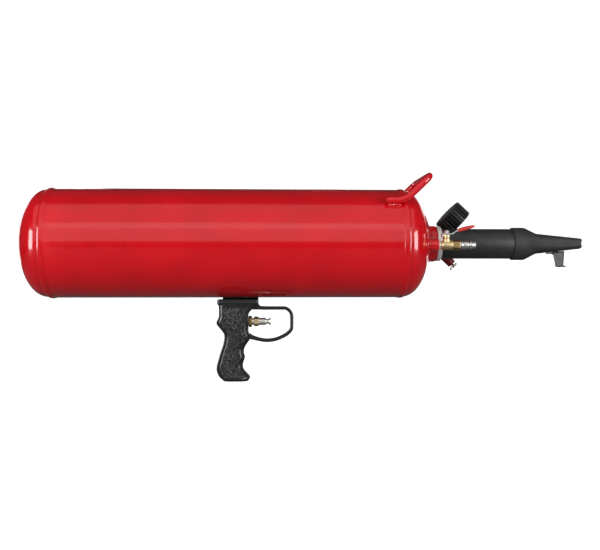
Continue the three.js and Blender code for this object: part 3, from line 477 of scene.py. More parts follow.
def build_grain_group():
    """Fine random relief and a matching shade, for castings, mouldings and coatings."""
    group, start, end = new_group(
        "Fine Grain",
        [("Size", "NodeSocketFloat", 0.001), ("Detail", "NodeSocketFloat", 3.0)],
        [("Height", "NodeSocketFloat"), ("Shade", "NodeSocketFloat")])
    place = group.nodes.new("ShaderNodeTexCoord").outputs["Object"]
    scale = math_node(group, "DIVIDE", 1.0, start.outputs["Size"])
    grain = add(group, "ShaderNodeTexNoise", Vector=place, Scale=scale,
                Detail=start.outputs["Detail"], Roughness=0.6)
    wide_scale = math_node(group, "MULTIPLY", scale, 0.06)
    wide = add(group, "ShaderNodeTexNoise", Vector=place, Scale=wide_scale, Detail=2.0)
    shade = map_range(group, wide.outputs[0], 0.3, 0.7, 0.0, 1.0)
    feed(group, end, Height=grain.outputs[0], Shade=shade)


def build_wear_group():
    """Colour with bare or rubbed edges, and a mask of the rubbed parts."""
    group, start, end = new_group(
        "Edge Wear",
        [("Color", "NodeSocketColor", (0.5, 0.5, 0.5, 1)),
         ("Worn Color", "NodeSocketColor", (0.8, 0.8, 0.8, 1)),
         ("Amount", "NodeSocketFloat", 0.5), ("Size", "NodeSocketFloat", 0.004)],
        [("Color", "NodeSocketColor"), ("Mask", "NodeSocketFloat")])
    bend = group.nodes.new("ShaderNodeNewGeometry").outputs["Pointiness"]
    place = group.nodes.new("ShaderNodeTexCoord").outputs["Object"]
    scale = math_node(group, "DIVIDE", 1.0, start.outputs["Size"])
    chips = add(group, "ShaderNodeTexNoise", Vector=place, Scale=scale, Detail=6.0,
                Roughness=0.7)
    edge = map_range(group, bend, 0.52, 0.60, 0.0, 1.0)
    patch = map_range(group, chips.outputs[0], 0.48, 0.66, 0.0, 1.0)
    mask = math_node(group, "MULTIPLY", edge, patch, clamp=True)
    mask = math_node(group, "MULTIPLY", mask, start.outputs["Amount"], clamp=True)
    shade = mix_colour(group, mask, start.outputs["Color"], start.outputs["Worn Color"])
    feed(group, end, Color=shade, Mask=mask)


def build_turning_group():
    """Fine tool marks round a turned metal piece, along a direction."""
    group, start, end = new_group(
        "Turning Marks",
        [("Direction", "NodeSocketVector", (1, 0, 0)), ("Pitch", "NodeSocketFloat", 0.0004)],
        [("Height", "NodeSocketFloat"), ("Shade", "NodeSocketFloat")])
    place = group.nodes.new("ShaderNodeTexCoord").outputs["Object"]
    along = add(group, "ShaderNodeVectorMath", {"operation": "DOT_PRODUCT"})
    connect(group, along.inputs[0], place)
    connect(group, along.inputs[1], start.outputs["Direction"])
    station = math_node(group, "DIVIDE", along.outputs["Value"], start.outputs["Pitch"])
    marks = add(group, "ShaderNodeTexNoise", {"noise_dimensions": "1D"}, W=station, Scale=1.0,
                Detail=4.0)
    blotch = add(group, "ShaderNodeTexNoise", Vector=place, Scale=260.0, Detail=3.0)
    feed(group, end, Height=marks.outputs[0], Shade=blotch.outputs[0])


def new_material(name):
    made = bpy.data.materials.new(name)
    made.use_nodes = True
    tree = made.node_tree
    tree.nodes.clear()
    output = tree.nodes.new("ShaderNodeOutputMaterial")
    shader = tree.nodes.new("ShaderNodeBsdfPrincipled")
    tree.links.new(shader.outputs[0], output.inputs["Surface"])
    return made, tree, shader


def relief(tree, shader, height, distance, strength=1.0):
    """Bump the surface by a height texture."""
    bump = add(tree, "ShaderNodeBump", Height=height, Distance=distance, Strength=strength)
    feed(tree, shader, Normal=bump.outputs[0])


def gloss_paint(name, rgb, roughness, wear=0.0, coat=0.6):
    """Sprayed gloss paint: faint orange peel, slow change of shade, a clear top coat."""
    made, tree, shader = new_material(name)
    peel = use_group(tree, "Fine Grain", Size=3.2 * MM, Detail=1.5)
    shade = mix_colour(tree, peel.outputs["Shade"], rgba(rgb, 0.90), rgba(rgb, 1.06))
    worn = use_group(tree, "Edge Wear", Color=shade, Worn_Color=rgba((0.75, 0.10, 0.09)),
                     Amount=wear, Size=2.5 * MM)
    speck = use_group(tree, "Fine Grain", Size=0.6 * MM, Detail=2.0)
    rough = map_range(tree, speck.outputs["Shade"], 0.0, 1.0, roughness * 0.85, roughness * 1.25)
    feed(tree, shader, Base_Color=worn.outputs["Color"], Roughness=rough, Coat_Weight=coat,
         Coat_Roughness=0.04, IOR=1.5)
    relief(tree, shader, peel.outputs["Height"], 0.035 * MM, 0.5)
    return made


def coated_metal(name, rgb, roughness, grain, depth, worn_rgb, wear):
    """Satin or matt coating with a fine tooth and slightly rubbed edges."""
    made, tree, shader = new_material(name)
    tooth = use_group(tree, "Fine Grain", Size=grain, Detail=4.0)
    shade = mix_colour(tree, tooth.outputs["Shade"], rgba(rgb, 0.82), rgba(rgb, 1.22))
    worn = use_group(tree, "Edge Wear", Color=shade, Worn_Color=rgba(worn_rgb), Amount=wear,
                     Size=2.0 * MM)
    rough = map_range(tree, tooth.outputs["Height"], 0.3, 0.7, roughness * 0.88, roughness * 1.12)
    feed(tree, shader, Base_Color=worn.outputs["Color"], Roughness=rough)
    relief(tree, shader, tooth.outputs["Height"], depth, 0.6)
    return made


def turned_metal(name, rgb, roughness, direction=(1, 0, 0), pitch=0.0005, dark=0.7, metallic=1.0):
    """Bare or plated metal with turning marks and darker, duller patches."""
    made, tree, shader = new_material(name)
    marks = use_group(tree, "Turning Marks", Direction=direction, Pitch=pitch)
    tone = map_range(tree, marks.outputs["Shade"], 0.35, 0.65, 0.0, 1.0)
    shade = mix_colour(tree, tone, rgba(rgb, dark), rgba(rgb, 1.05))
    worn = use_group(tree, "Edge Wear", Color=shade, Worn_Color=rgba((0.95, 0.93, 0.88)),
                     Amount=0.6, Size=1.5 * MM)
    rough = map_range(tree, marks.outputs["Shade"], 0.3, 0.7, roughness * 1.25, roughness * 0.8)
    feed(tree, shader, Base_Color=worn.outputs["Color"], Roughness=rough, Metallic=metallic)
    relief(tree, shader, marks.outputs["Height"], 0.02 * MM, 0.5)
    return made


def stippled_plastic(name, rgb, size, depth):
    """Moulded panel covered with raised grains, each with a painted highlight on its top and painted
    shade in the gaps between grains.
    """
    made, tree, shader = new_material(name)
    place = tree.nodes.new("ShaderNodeTexCoord").outputs["Object"]
    cells = add(tree, "ShaderNodeTexVoronoi", {"feature": "F1"}, Vector=place, Scale=1 / size,
                Randomness=1.0)
    dome = map_range(tree, cells.outputs["Distance"], 0.0, 0.62, 1.0, 0.0)
    grain = use_group(tree, "Fine Grain", Size=0.35 * MM, Detail=3.0)
    height = math_node(tree, "ADD", dome, math_node(tree, "MULTIPLY", grain.outputs["Height"], 0.35))
    lot = math_node(tree, "MULTIPLY", cells.outputs["Color"], dome)
    grain_top_highlight_painted = map_range(tree, lot, 0.2, 0.4, 0.0, 1.0)
    # Painted highlight and shade: grain tops reach 11 times the plastic's colour and gaps 0.3 times,
    # some grains lighter than others at random.
    shade = mix_colour(tree, grain_top_highlight_painted, rgba(rgb, 0.3), rgba(rgb, 11.0))
    rough = map_range(tree, dome, 0.2, 1.0, 0.75, 0.42)
    feed(tree, shader, Base_Color=shade, Roughness=rough)
    relief(tree, shader, height, depth, 0.9)
    return made


def smooth_plastic(name, rgb, roughness=0.27):
    """Plain moulded plastic with a fine grain and paler rubbed edges."""
    made, tree, shader = new_material(name)
    grain = use_group(tree, "Fine Grain", Size=0.5 * MM, Detail=3.0)
    shade = mix_colour(tree, grain.outputs["Shade"], rgba(rgb, 0.85), rgba(rgb, 1.2))
    worn = use_group(tree, "Edge Wear", Color=shade, Worn_Color=rgba(rgb, 2.6), Amount=0.5,
                     Size=3 * MM)
    rough = map_range(tree, grain.outputs["Height"], 0.3, 0.7, roughness * 0.85, roughness * 1.2)
    feed(tree, shader, Base_Color=worn.outputs["Color"], Roughness=rough)
    relief(tree, shader, grain.outputs["Height"], 0.03 * MM, 0.6)
    return made


def clear_lens(name):
    made, tree, shader = new_material(name)
    grain = use_group(tree, "Fine Grain", Size=1.2 * MM, Detail=2.0)
    tint = mix_colour(tree, grain.outputs["Shade"], (0.90, 0.90, 0.90, 1), (0.97, 0.97, 0.97, 1))
    feed(tree, shader, Base_Color=tint, Roughness=0.04, Alpha=0.12, IOR=1.49)
    made.surface_render_method = "BLENDED"
    return made


MATERIALS = {}


def build_materials(scene):
    build_grain_group()
    build_wear_group()
    build_turning_group()
    tank = scene.beadseater_tank
    barrel = scene.beadseater_barrel
    grip = scene.beadseater_grip
    fittings = scene.beadseater_fittings
    gauge = scene.beadseater_gauge
    stem = tuple(GAUGE_STEM)
    down = tuple(RELIEF_DIRECTION)
    MATERIALS.update({
        "tank_paint": gloss_paint("tank_paint", tank.paint, tank.paint_roughness, 0.25),
        # The fittings get the tank's red darkened as painted shade.
        "fitting_paint_painted_shade": gloss_paint("fitting_paint_painted_shade", fittings.casting_red_painted_shade, 0.34, 0.5, 0.2),
        "label_film": gloss_paint("label_film", (0.66, 0.06, 0.055), 0.3, 0.0, 0.3),
        "barrel_coat": coated_metal("barrel_coat", barrel.barrel_colour, 0.42, 0.5 * MM, 0.03 * MM,
                                    (0.16, 0.16, 0.17), 0.4),
        "nozzle_coat": coated_metal("nozzle_coat", barrel.nozzle_colour, 0.55, 0.8 * MM, 0.07 * MM,
                                    (0.13, 0.13, 0.13), 0.6),
        "hook_coat": coated_metal("hook_coat", barrel.hook_colour, 0.45, 0.6 * MM, 0.04 * MM,
                                  (0.35, 0.35, 0.36), 0.8),
        "grip_panel": stippled_plastic("grip_panel", grip.plastic, grip.stipple_size,
                                       grip.stipple_depth),
        "grip_smooth": smooth_plastic("grip_smooth", grip.plastic),
        "boot_rubber": coated_metal("boot_rubber", gauge.rubber, 0.34, 0.5 * MM, 0.05 * MM,
                                    (0.06, 0.06, 0.06), 0.7),
        "seal_rubber": coated_metal("seal_rubber", (0.015, 0.015, 0.015), 0.7, 0.4 * MM,
                                    0.03 * MM, (0.04, 0.04, 0.04), 0.2),
        "brass": turned_metal("brass", fittings.brass, 0.42, pitch=0.35 * MM, dark=0.85),
        "dark_brass": turned_metal("dark_brass", (0.50, 0.34, 0.15), 0.36, pitch=0.5 * MM),
        "nickel": turned_metal("nickel", fittings.nickel, 0.42, pitch=0.4 * MM, dark=0.8),
        "plated_steel": turned_metal("plated_steel", fittings.steel, 0.34, pitch=0.4 * MM, dark=0.85),
        "ring_steel": turned_metal("ring_steel", (0.92, 0.90, 0.86), 0.4, pitch=0.6 * MM, dark=0.92,
                                   metallic=0.35),
        "gauge_metal": turned_metal("gauge_metal", (0.55, 0.52, 0.46), 0.3, direction=stem),
        "relief_brass": turned_metal("relief_brass", fittings.brass, 0.3, direction=down),
        "sleeve": smooth_plastic("sleeve", fittings.sleeve, 0.45),
        "dial": smooth_plastic("dial", (0.86, 0.86, 0.83), 0.5),
        "dial_ink": smooth_plastic("dial_ink", (0.02, 0.02, 0.022), 0.5),
        "seal_white": smooth_plastic("seal_white", (0.8, 0.8, 0.78), 0.4),
        "lens": clear_lens("lens"),
    })


# Carried-over nodes and the finish that each one gets.
CARRIED = {
    "seal_rubber": ("neck_o_ring", "piston_seal", "piston_o_ring", "trigger_o_ring"),
    "plated_steel": ("blast_valve_body", "piston_spring", "valve_rear_cap", "pilot_tube",
                     "pilot_pipe", "trigger_spring", "relief_spring", "blast_piston"),
    "brass": ("blast_seat", "pilot_bulkhead", "bourdon_tube", "fill_stem"),
    "nickel": ("fill_ball",),
    "seal_white": ("fill_seat_rear", "fill_seat_front"),
    "relief_brass": ("relief_stem",),
    "barrel_coat": ("gauge_case",),
}


# ---------------------------------------------------------------- tank

def front_head_x(r):
    """Station of the front head's surface at a radius from the tank's axis."""
    return FRONT_TANGENT + TANK_RADIUS / 2 * sqrt(max(0.0, 1 - (r / HEAD_RADIUS) ** 2))


def head_shape(tangent, sign, seam, wall, hole=0.0):
    """A dished head, half as deep as the tank's radius, with a skirt that goes into the shell."""
    lip = TANK_RADIUS - wall - 0.3 * MM
    steps = 36
    outer = [(seam - sign * 8 * MM, lip), (seam + sign * 0.3 * MM, lip),
             (seam + sign * 0.3 * MM, HEAD_RADIUS)]
    inner = [(seam - sign * 8 * MM, lip - wall)]
    last = asin(1.0) if hole == 0 else asin(sqrt(1 - (hole / HEAD_RADIUS) ** 2))
    for k in range(steps + 1):
        angle = last * k / steps
        outer.append((tangent + sign * TANK_RADIUS / 2 * sin(angle), HEAD_RADIUS * cos(angle)))
        inner.append((tangent + sign * (TANK_RADIUS / 2 - wall) * sin(angle),
                      (HEAD_RADIUS - wall) * cos(angle)))
    if hole == 0:
        outer[-1] = (outer[-1][0], 0.0)
        inner[-1] = (inner[-1][0], 0.0)
        return revolve(list(reversed(outer)) + inner, 160)
    return revolve(outer + list(reversed(inner)), 160, closed=True)


def girth_bead(seam, width, inner, outer, size, rng):
    """A machine-laid bead: a low crown with fine, slightly uneven ripples round the tank."""
    steps = 14
    profile = [(seam - width / 2, inner)]
    for k in range(steps + 1):
        t = -1 + 2 * k / steps
        profile.append((seam + t * width / 2, inner + (outer - inner) * (1 - t * t) ** 0.6))
    profile.append((seam + width / 2, inner))
    phases = [rng.uniform(0, tau) for _ in range(3)]

    def shape(x, r, angle):
        crown = (r - inner) / (outer - inner)
        wave = sin(angle * 150 + phases[0] + (x - seam) / width * 5)
        slow = sin(angle * 7 + phases[1]) + 0.6 * sin(angle * 17 + phases[2])
        return r + crown * size * (wave + slow)

    return revolve(profile, 480, True, shape)


def boss_weld(centre_y, centre_z, boss_radius, bead, rng):
    """A bead that follows the line where a round boss meets the dished head."""
    path = []
    count = 120
    ripples = 38
    lumps = 9
    ring = boss_radius + bead * 0.3
    phase = rng.uniform(0, tau)
    for k in range(count):
        angle = tau * k / count
        y = centre_y + ring * cos(angle)
        z = centre_z + ring * sin(angle)
        off = sqrt(y * y + (z - TANK_AXIS.z) ** 2)
        path.append((front_head_x(off) + bead * 0.2, y, z))

    def size(t):
        return 1 + 0.07 * sin(tau * t * ripples + phase) + 0.04 * sin(tau * t * lumps)

    return sweep(path, circle(bead, 14), up=Vector((1, 0, 0)), looped=True, size=size)


class BEADSEATER_OT_tank(bpy.types.Operator):
    """Build the shell, the dished heads, the welds and the bosses"""
    bl_idname = "beadseater.tank"
    bl_label = "Tank"

    def execute(self, context):
        settings = context.scene.beadseater_tank
        paint = MATERIALS["tank_paint"]
        rng = random.Random(SEED)
        wall = settings.wall
        shell = tube(REAR_SEAM, FRONT_SEAM, TANK_RADIUS - wall, TANK_RADIUS, 0.5 * MM, 192)
        piece("shell", moved(shell, ON_TANK), paint, ["tank_shell"])
        rear = head_shape(REAR_TANGENT, -1, REAR_SEAM, wall)
        piece("rear_dish", moved(rear, ON_TANK), paint, ["rear_head"])
        neck_radius = high("neck_boss").y
        front = head_shape(FRONT_TANGENT, 1, FRONT_SEAM, wall, neck_radius - 0.2 * MM)
        piece("front_dish", moved(front, ON_TANK), paint, ["front_head"])
        for name, node in (("rear_bead", "rear_weld"), ("front_bead", "front_weld")):
            bead = girth_bead(middle(node).x, high(node).x - low(node).x, TANK_RADIUS - 0.6 * MM,
                              high(node).y, settings.bead_ripple, rng)
            piece(name, moved(bead, ON_TANK), paint, [node])

        face = high("neck_boss").x
        bore = high("blast_valve_body").z - TANK_AXIS.z - 5.2 * MM
        neck = turned([(low("neck_boss").x, bore), (low("neck_boss").x, neck_radius),
                       (face, neck_radius), (face, bore)], 3 * MM, 128)
        piece("neck", moved(neck, ON_TANK), paint, ["neck_boss"])
        piece("neck_weld", boss_weld(0, TANK_AXIS.z, neck_radius, 2.2 * MM, rng), paint)
        for name, node in (("fill_boss_turned", "fill_boss"), ("gauge_boss_turned", "gauge_boss")):
            centre = middle(node)
            radius = (high(node).y - low(node).y) / 2
            boss = tube(low(node).x, high(node).x, 4.2 * MM, radius, 1.1 * MM, 64)
            piece(name, moved(boss, Matrix.Translation((0, centre.y, centre.z))), paint, [node])
            piece(name + "_weld", boss_weld(centre.y, centre.z, radius, 1.4 * MM, rng), paint)
        self.rating_label(settings)
        return {"FINISHED"}

    def rating_label(self, settings):
        """The raised border strips of a blank film label, high on the near side of the shell."""
        x0 = 112 * MM
        x1 = x0 + settings.label_length
        span = settings.label_width / TANK_RADIUS
        top = radians(7)
        skin = TANK_RADIUS + 0.12 * MM
        border = 0.9 * MM

        def patch(start_x, end_x, start, end):
            rings = []
            for r in (skin, TANK_RADIUS - 0.1 * MM):
                for k in range(17):
                    angle = start + (end - start) * (k if r == skin else 16 - k) / 16
                    rings.append([(start_x, -r * sin(angle), TANK_AXIS.z + r * cos(angle)),
                                  (end_x, -r * sin(angle), TANK_AXIS.z + r * cos(angle))])
            verts = [Vector(p) for pair in rings for p in pair]
            count = len(rings)
            faces = [(2 * k, 2 * k + 1, 2 * ((k + 1) % count) + 1, 2 * ((k + 1) % count))
                     for k in range(count)]
            faces.append(tuple(2 * k for k in range(count)))
            faces.append(tuple(2 * k + 1 for k in range(count)))
            return verts, faces

        edge = border / TANK_RADIUS
        frame_strips = joined(
            patch(x0, x0 + border, top, top + span),
            patch(x1 - border, x1, top, top + span),
            patch(x0, x1, top, top + edge),
            patch(x0, x1, top + span - edge, top + span))
        piece("rating_label", frame_strips, MATERIALS["label_film"])


class BEADSEATER_OT_handle(bpy.types.Operator):
    """Build the bent front handle and the beads that hold its legs"""
    bl_idname = "beadseater.handle"
    bl_label = "Front handle"

    def execute(self, context):
        paint = MATERIALS["tank_paint"]
        bar = 5 * MM
        start, end = low("front_handle"), high("front_handle")
        leg_y = end.y - bar
        low_z = start.z + bar
        top_z = end.z - bar
        front_x = end.x - bar
        bend_x = front_x - 35.5 * MM

        def side(sign):
            return [(start.x, sign * leg_y, low_z), (bend_x, sign * leg_y, low_z),
                    (front_x, sign * leg_y, top_z)]

        corners = side(-1) + list(reversed(side(1)))
        path = smooth_path(corners, 14.5 * MM, 14, 3 * MM)
        count = len(path) - 1

        def ends(t):
            edge = min(t, 1 - t) * count
            return (0.72, 0.93, 1.0)[min(2, int(edge + 0.5))]

        piece("handle_bar", sweep(path, circle(bar, 28), size=ends), paint, ["front_handle"])
        rng = random.Random(SEED + 1)
        for sign, side_name in ((-1, "near"), (1, "far")):
            for turn, place in ((-1, "lower"), (1, "upper")):
                self.leg_bead(start.x, bend_x, sign, turn, leg_y, low_z, bar,
                              f"handle_weld_{side_name}_{place}", rng)
        return {"FINISHED"}

    def leg_bead(self, start_x, bend_x, sign, turn, leg_y, leg_z, bar, name, rng):
        """A bead in the groove between one side of a leg and the shell."""
        around = atan2(leg_y, leg_z - TANK_AXIS.z) + turn * 0.84 * bar / TANK_RADIUS
        radius = TANK_RADIUS + 0.7 * MM
        y = sign * radius * sin(around)
        z = TANK_AXIS.z + radius * cos(around)
        x0 = start_x + 2.5 * MM
        x1 = bend_x - 5 * MM
        steps = 60
        path = [(x0 + (x1 - x0) * k / steps, y, z) for k in range(steps + 1)]
        phase = rng.uniform(0, tau)

        def size(t):
            ends = min(1.0, 0.35 + 6 * min(t, 1 - t))
            lumps = 0.13 * sin(tau * t * 9 + phase) + 0.1 * sin(tau * t * 5.3 + 2 * phase)
            return ends * (1 + lumps)

        piece(name, sweep(path, circle(2.5 * MM, 14), size=size), MATERIALS["tank_paint"])


# ---------------------------------------------------------------- barrel, nozzle and hook

def eased(x, keys, reach):
    """A value read between keyed stations, with its corners softened over a reach."""
    total = 0.0
    samples = 9
    for k in range(samples):
        place = x + reach * (2 * k / (samples - 1) - 1)
        place = min(max(place, keys[0][0]), keys[-1][0])
        for (x0, v0), (x1, v1) in zip(keys, keys[1:]):
            if place <= x1:
                total += v0 + (v1 - v0) * (place - x0) / (x1 - x0)
                break
    return total / samples


class BEADSEATER_OT_barrel(bpy.types.Operator):
    """Build the valve's flange ring, the barrel, the nozzle and the rim hook"""
    bl_idname = "beadseater.barrel"
    bl_label = "Barrel and nozzle"

    def execute(self, context):
        settings = context.scene.beadseater_barrel
        self.flange_ring()
        radius = high("barrel_tube").y
        x0 = high("blast_valve_body").x + 0.3 * MM
        x1 = high("barrel_tube").x - 0.7 * MM
        inner = radius - 2.6 * MM
        barrel = turned([(x0, inner), (x0, radius), (x1, radius), (x1, inner)], 1.0 * MM, 128)
        spigot = tube(low("barrel_tube").x, x0 + 1 * MM, 13.1 * MM, 15.6 * MM, 0.5 * MM, 96)
        piece("barrel", moved(joined(barrel, spigot), ON_TANK), MATERIALS["barrel_coat"],
              ["barrel_tube"])
        self.nozzle(settings)
        self.rim_hook(settings)
        return {"FINISHED"}

    def flange_ring(self):
        """The bright flange of the blast valve, with its body inside the neck."""
        radius = high("blast_valve_body").y
        x1 = high("blast_valve_body").x
        x0 = high("neck_boss").x + 0.3 * MM
        skin = 0.12 * MM
        flange = tube(x0, x1 + skin, 16.1 * MM, radius + skin, 0.7 * MM, 128)
        piece("valve_flange", moved(flange, ON_TANK), MATERIALS["ring_steel"])

    def nozzle(self, settings):
        start = low("nozzle").x
        tip = high("nozzle").x
        ring = (high("nozzle").z - low("nozzle").z) / 2
        width = (high("nozzle").y - low("nozzle").y) / 2
        cone = start + 17.9 * MM
        tail = cone + 14.5 * MM
        height = 14.5 * MM
        tip_height = 7.45 * MM
        half_heights = [(start, ring), (cone, ring), (tail, height), (tip, tip_height)]
        half_widths = [(start, ring), (cone, ring), (tail, width * 0.9), (tip, width)]
        powers = [(start, 2.0), (cone, 2.0), (tail, 2.8), (tip, 4.5)]
        sides = 96

        def section(x, shrink, notch):
            soft = 2.2 * MM
            h = eased(x, half_heights, soft) - shrink
            w = eased(x, half_widths, soft) - shrink
            points = superellipse(w, h, eased(x, powers, soft), sides)
            return [(x - notch * (1 - abs(b) / h), a, b) for a, b in points]

        def notch(x):
            """The tip's edge is hollow; the hollow fades out behind it."""
            return settings.tip_notch * max(0.0, 1 - (tip - x) / (9 * MM)) ** 2

        wall = settings.nozzle_wall
        edge = 1.0 * MM
        bore = high("barrel_tube").y + 0.2 * MM
        outside = [start + k * edge / 3 for k in range(4)]
        outside += [start + edge + (tip - start - 2 * edge) * k / 90 for k in range(1, 91)]
        bore_ring = superellipse(bore, bore, 2, sides)
        rings = [[(start, a, b) for a, b in bore_ring]]
        for x in outside:
            lip = max(0.0, 1 - (x - start) / edge)
            rings.append(section(x, edge * (1 - sqrt(max(0.0, 1 - lip * lip))), notch(x)))
        for x, shrink in ((tip - 0.3 * MM, 0.25 * MM), (tip, 0.7 * MM), (tip, wall - 0.5 * MM),
                          (tip - 0.4 * MM, wall)):
            rings.append(section(x, shrink, notch(tip)))
        inside = [tip - 0.5 * MM - (tip - cone) * k / 40 for k in range(1, 41)]
        rings += [section(x, wall, notch(x)) for x in inside]
        rings.append([(high("barrel_tube").x + 0.3 * MM, a, b) for a, b in bore_ring])
        piece("nozzle_casting", moved(loft(rings, looped=True), ON_TANK),
              MATERIALS["nozzle_coat"], ["nozzle"], sharp=50)

    def rim_hook(self, settings):
        """A folded sheet hook: a base under the tail, a near cheek and a front plate with a lip."""
        start, end = low("rim_hook"), high("rim_hook")
        sheet = settings.sheet
        half = end.y
        front = end.x - 2.4 * MM
        rear = start.x
        centre = (front + rear) / 2
        slope = atan2(7.05, 61.4)
        top = end.z - 0.05 * MM - (front - centre) * tan(slope)
        bottom = start.z
        foot = bottom + 1.5 * MM

        def leaning(outline):
            return [(x, z + (x - centre) * tan(slope)) for x, z in outline]

        base = plate(leaning([(rear, top), (front, top), (front, top - sheet),
                              (rear, top - sheet)]), -half, half)
        cheek = plate([(rear, top - 0.9 * MM), (front - 0.9 * MM, top + 0.9 * MM),
                       (front - 1.7 * MM, foot), (rear + 4.1 * MM, foot)],
                      -half, -half + sheet)
        lip = rounded([(front - sheet, top - 0.6 * MM), (front, top - 0.4 * MM),
                       (front - 1.2 * MM, foot + 1.2 * MM), (end.x, foot - 0.2 * MM),
                       (end.x, bottom), (front - sheet - 1 * MM, foot - 0.5 * MM)],
                      0.8 * MM, 3, closed=True)
        face = plate(pairs(lip), -half, half)
        for name, shape in (("hook_base", base), ("hook_cheek", cheek),
                            ("hook_face_plate", face)):
            stands_for = ["rim_hook"] if name == "hook_base" else []
            piece(name, shape, MATERIALS["hook_coat"], stands_for,
                  bevel=0.35 * MM)
        for name in ("hook_rivet_near", "hook_rivet_far"):
            centre_point = middle(name)
            reach = (high(name).z - low(name).z) / 2
            head = at(-reach, (0.2, 0), (0.2, 1.4), (0.7, 2.6), (1.7, 3.3), (1.7, 1.9))
            head += at(reach, (-1.5, 1.9), (-1.5, 3.0), (-0.4, 2.2), (-0.2, 0))
            stand = Matrix.Translation(centre_point) @ Matrix.Rotation(-slope, 4, "Y") @ Z_TO_X
            piece(name + "_turned", moved(turned(head, 0.3 * MM, 32), stand),
                  MATERIALS["hook_coat"], [name])


# ---------------------------------------------------------------- grip

# The grip's side outline in millimetres as (height, station), from the collar down.
GRIP_BACK = [(64.7, -19.4), (60, -18.8), (47, -18.8), (39.5, -22.9), (36.5, -22.4), (28, -15.3),
             (22.5, -11.3), (18, -11.3), (8, -13.1), (-2, -16.6), (-19, -21.5), (-27, -22.5),
             (-35, -20.1), (-40, -15.8), (-42.8, -11.6)]
GRIP_FRONT = [(64.7, 36.2), (61.5, 30), (56.5, 26.8), (52, 22.6), (45, 22.3), (27, 22.6),
              (20, 25.5), (15, 24.6), (9.5, 20.4), (3, 16.6), (-2, 15.9), (-7.5, 17.5), (-10.8, 18),
              (-14, 16.2), (-20.5, 14.4), (-25, 15.3), (-29, 18.1), (-36.2, 25.6), (-40, 24.6),
              (-42.8, 21.3)]
GUARD_PATH = [(20, 21), (29, 17.6), (40, 14.6), (50, 13.5), (62, 15.3), (75, 21.2), (83.4, 28.8),
              (83.3, 52), (76.5, 59.2), (42, 59.2), (26, 60.5)]


def read_outline(outline, z):
    """Station of one of the grip's edges at a height."""
    keys = [(-height, station) for height, station in outline]
    return eased(-z / MM, keys, 2.4) * MM


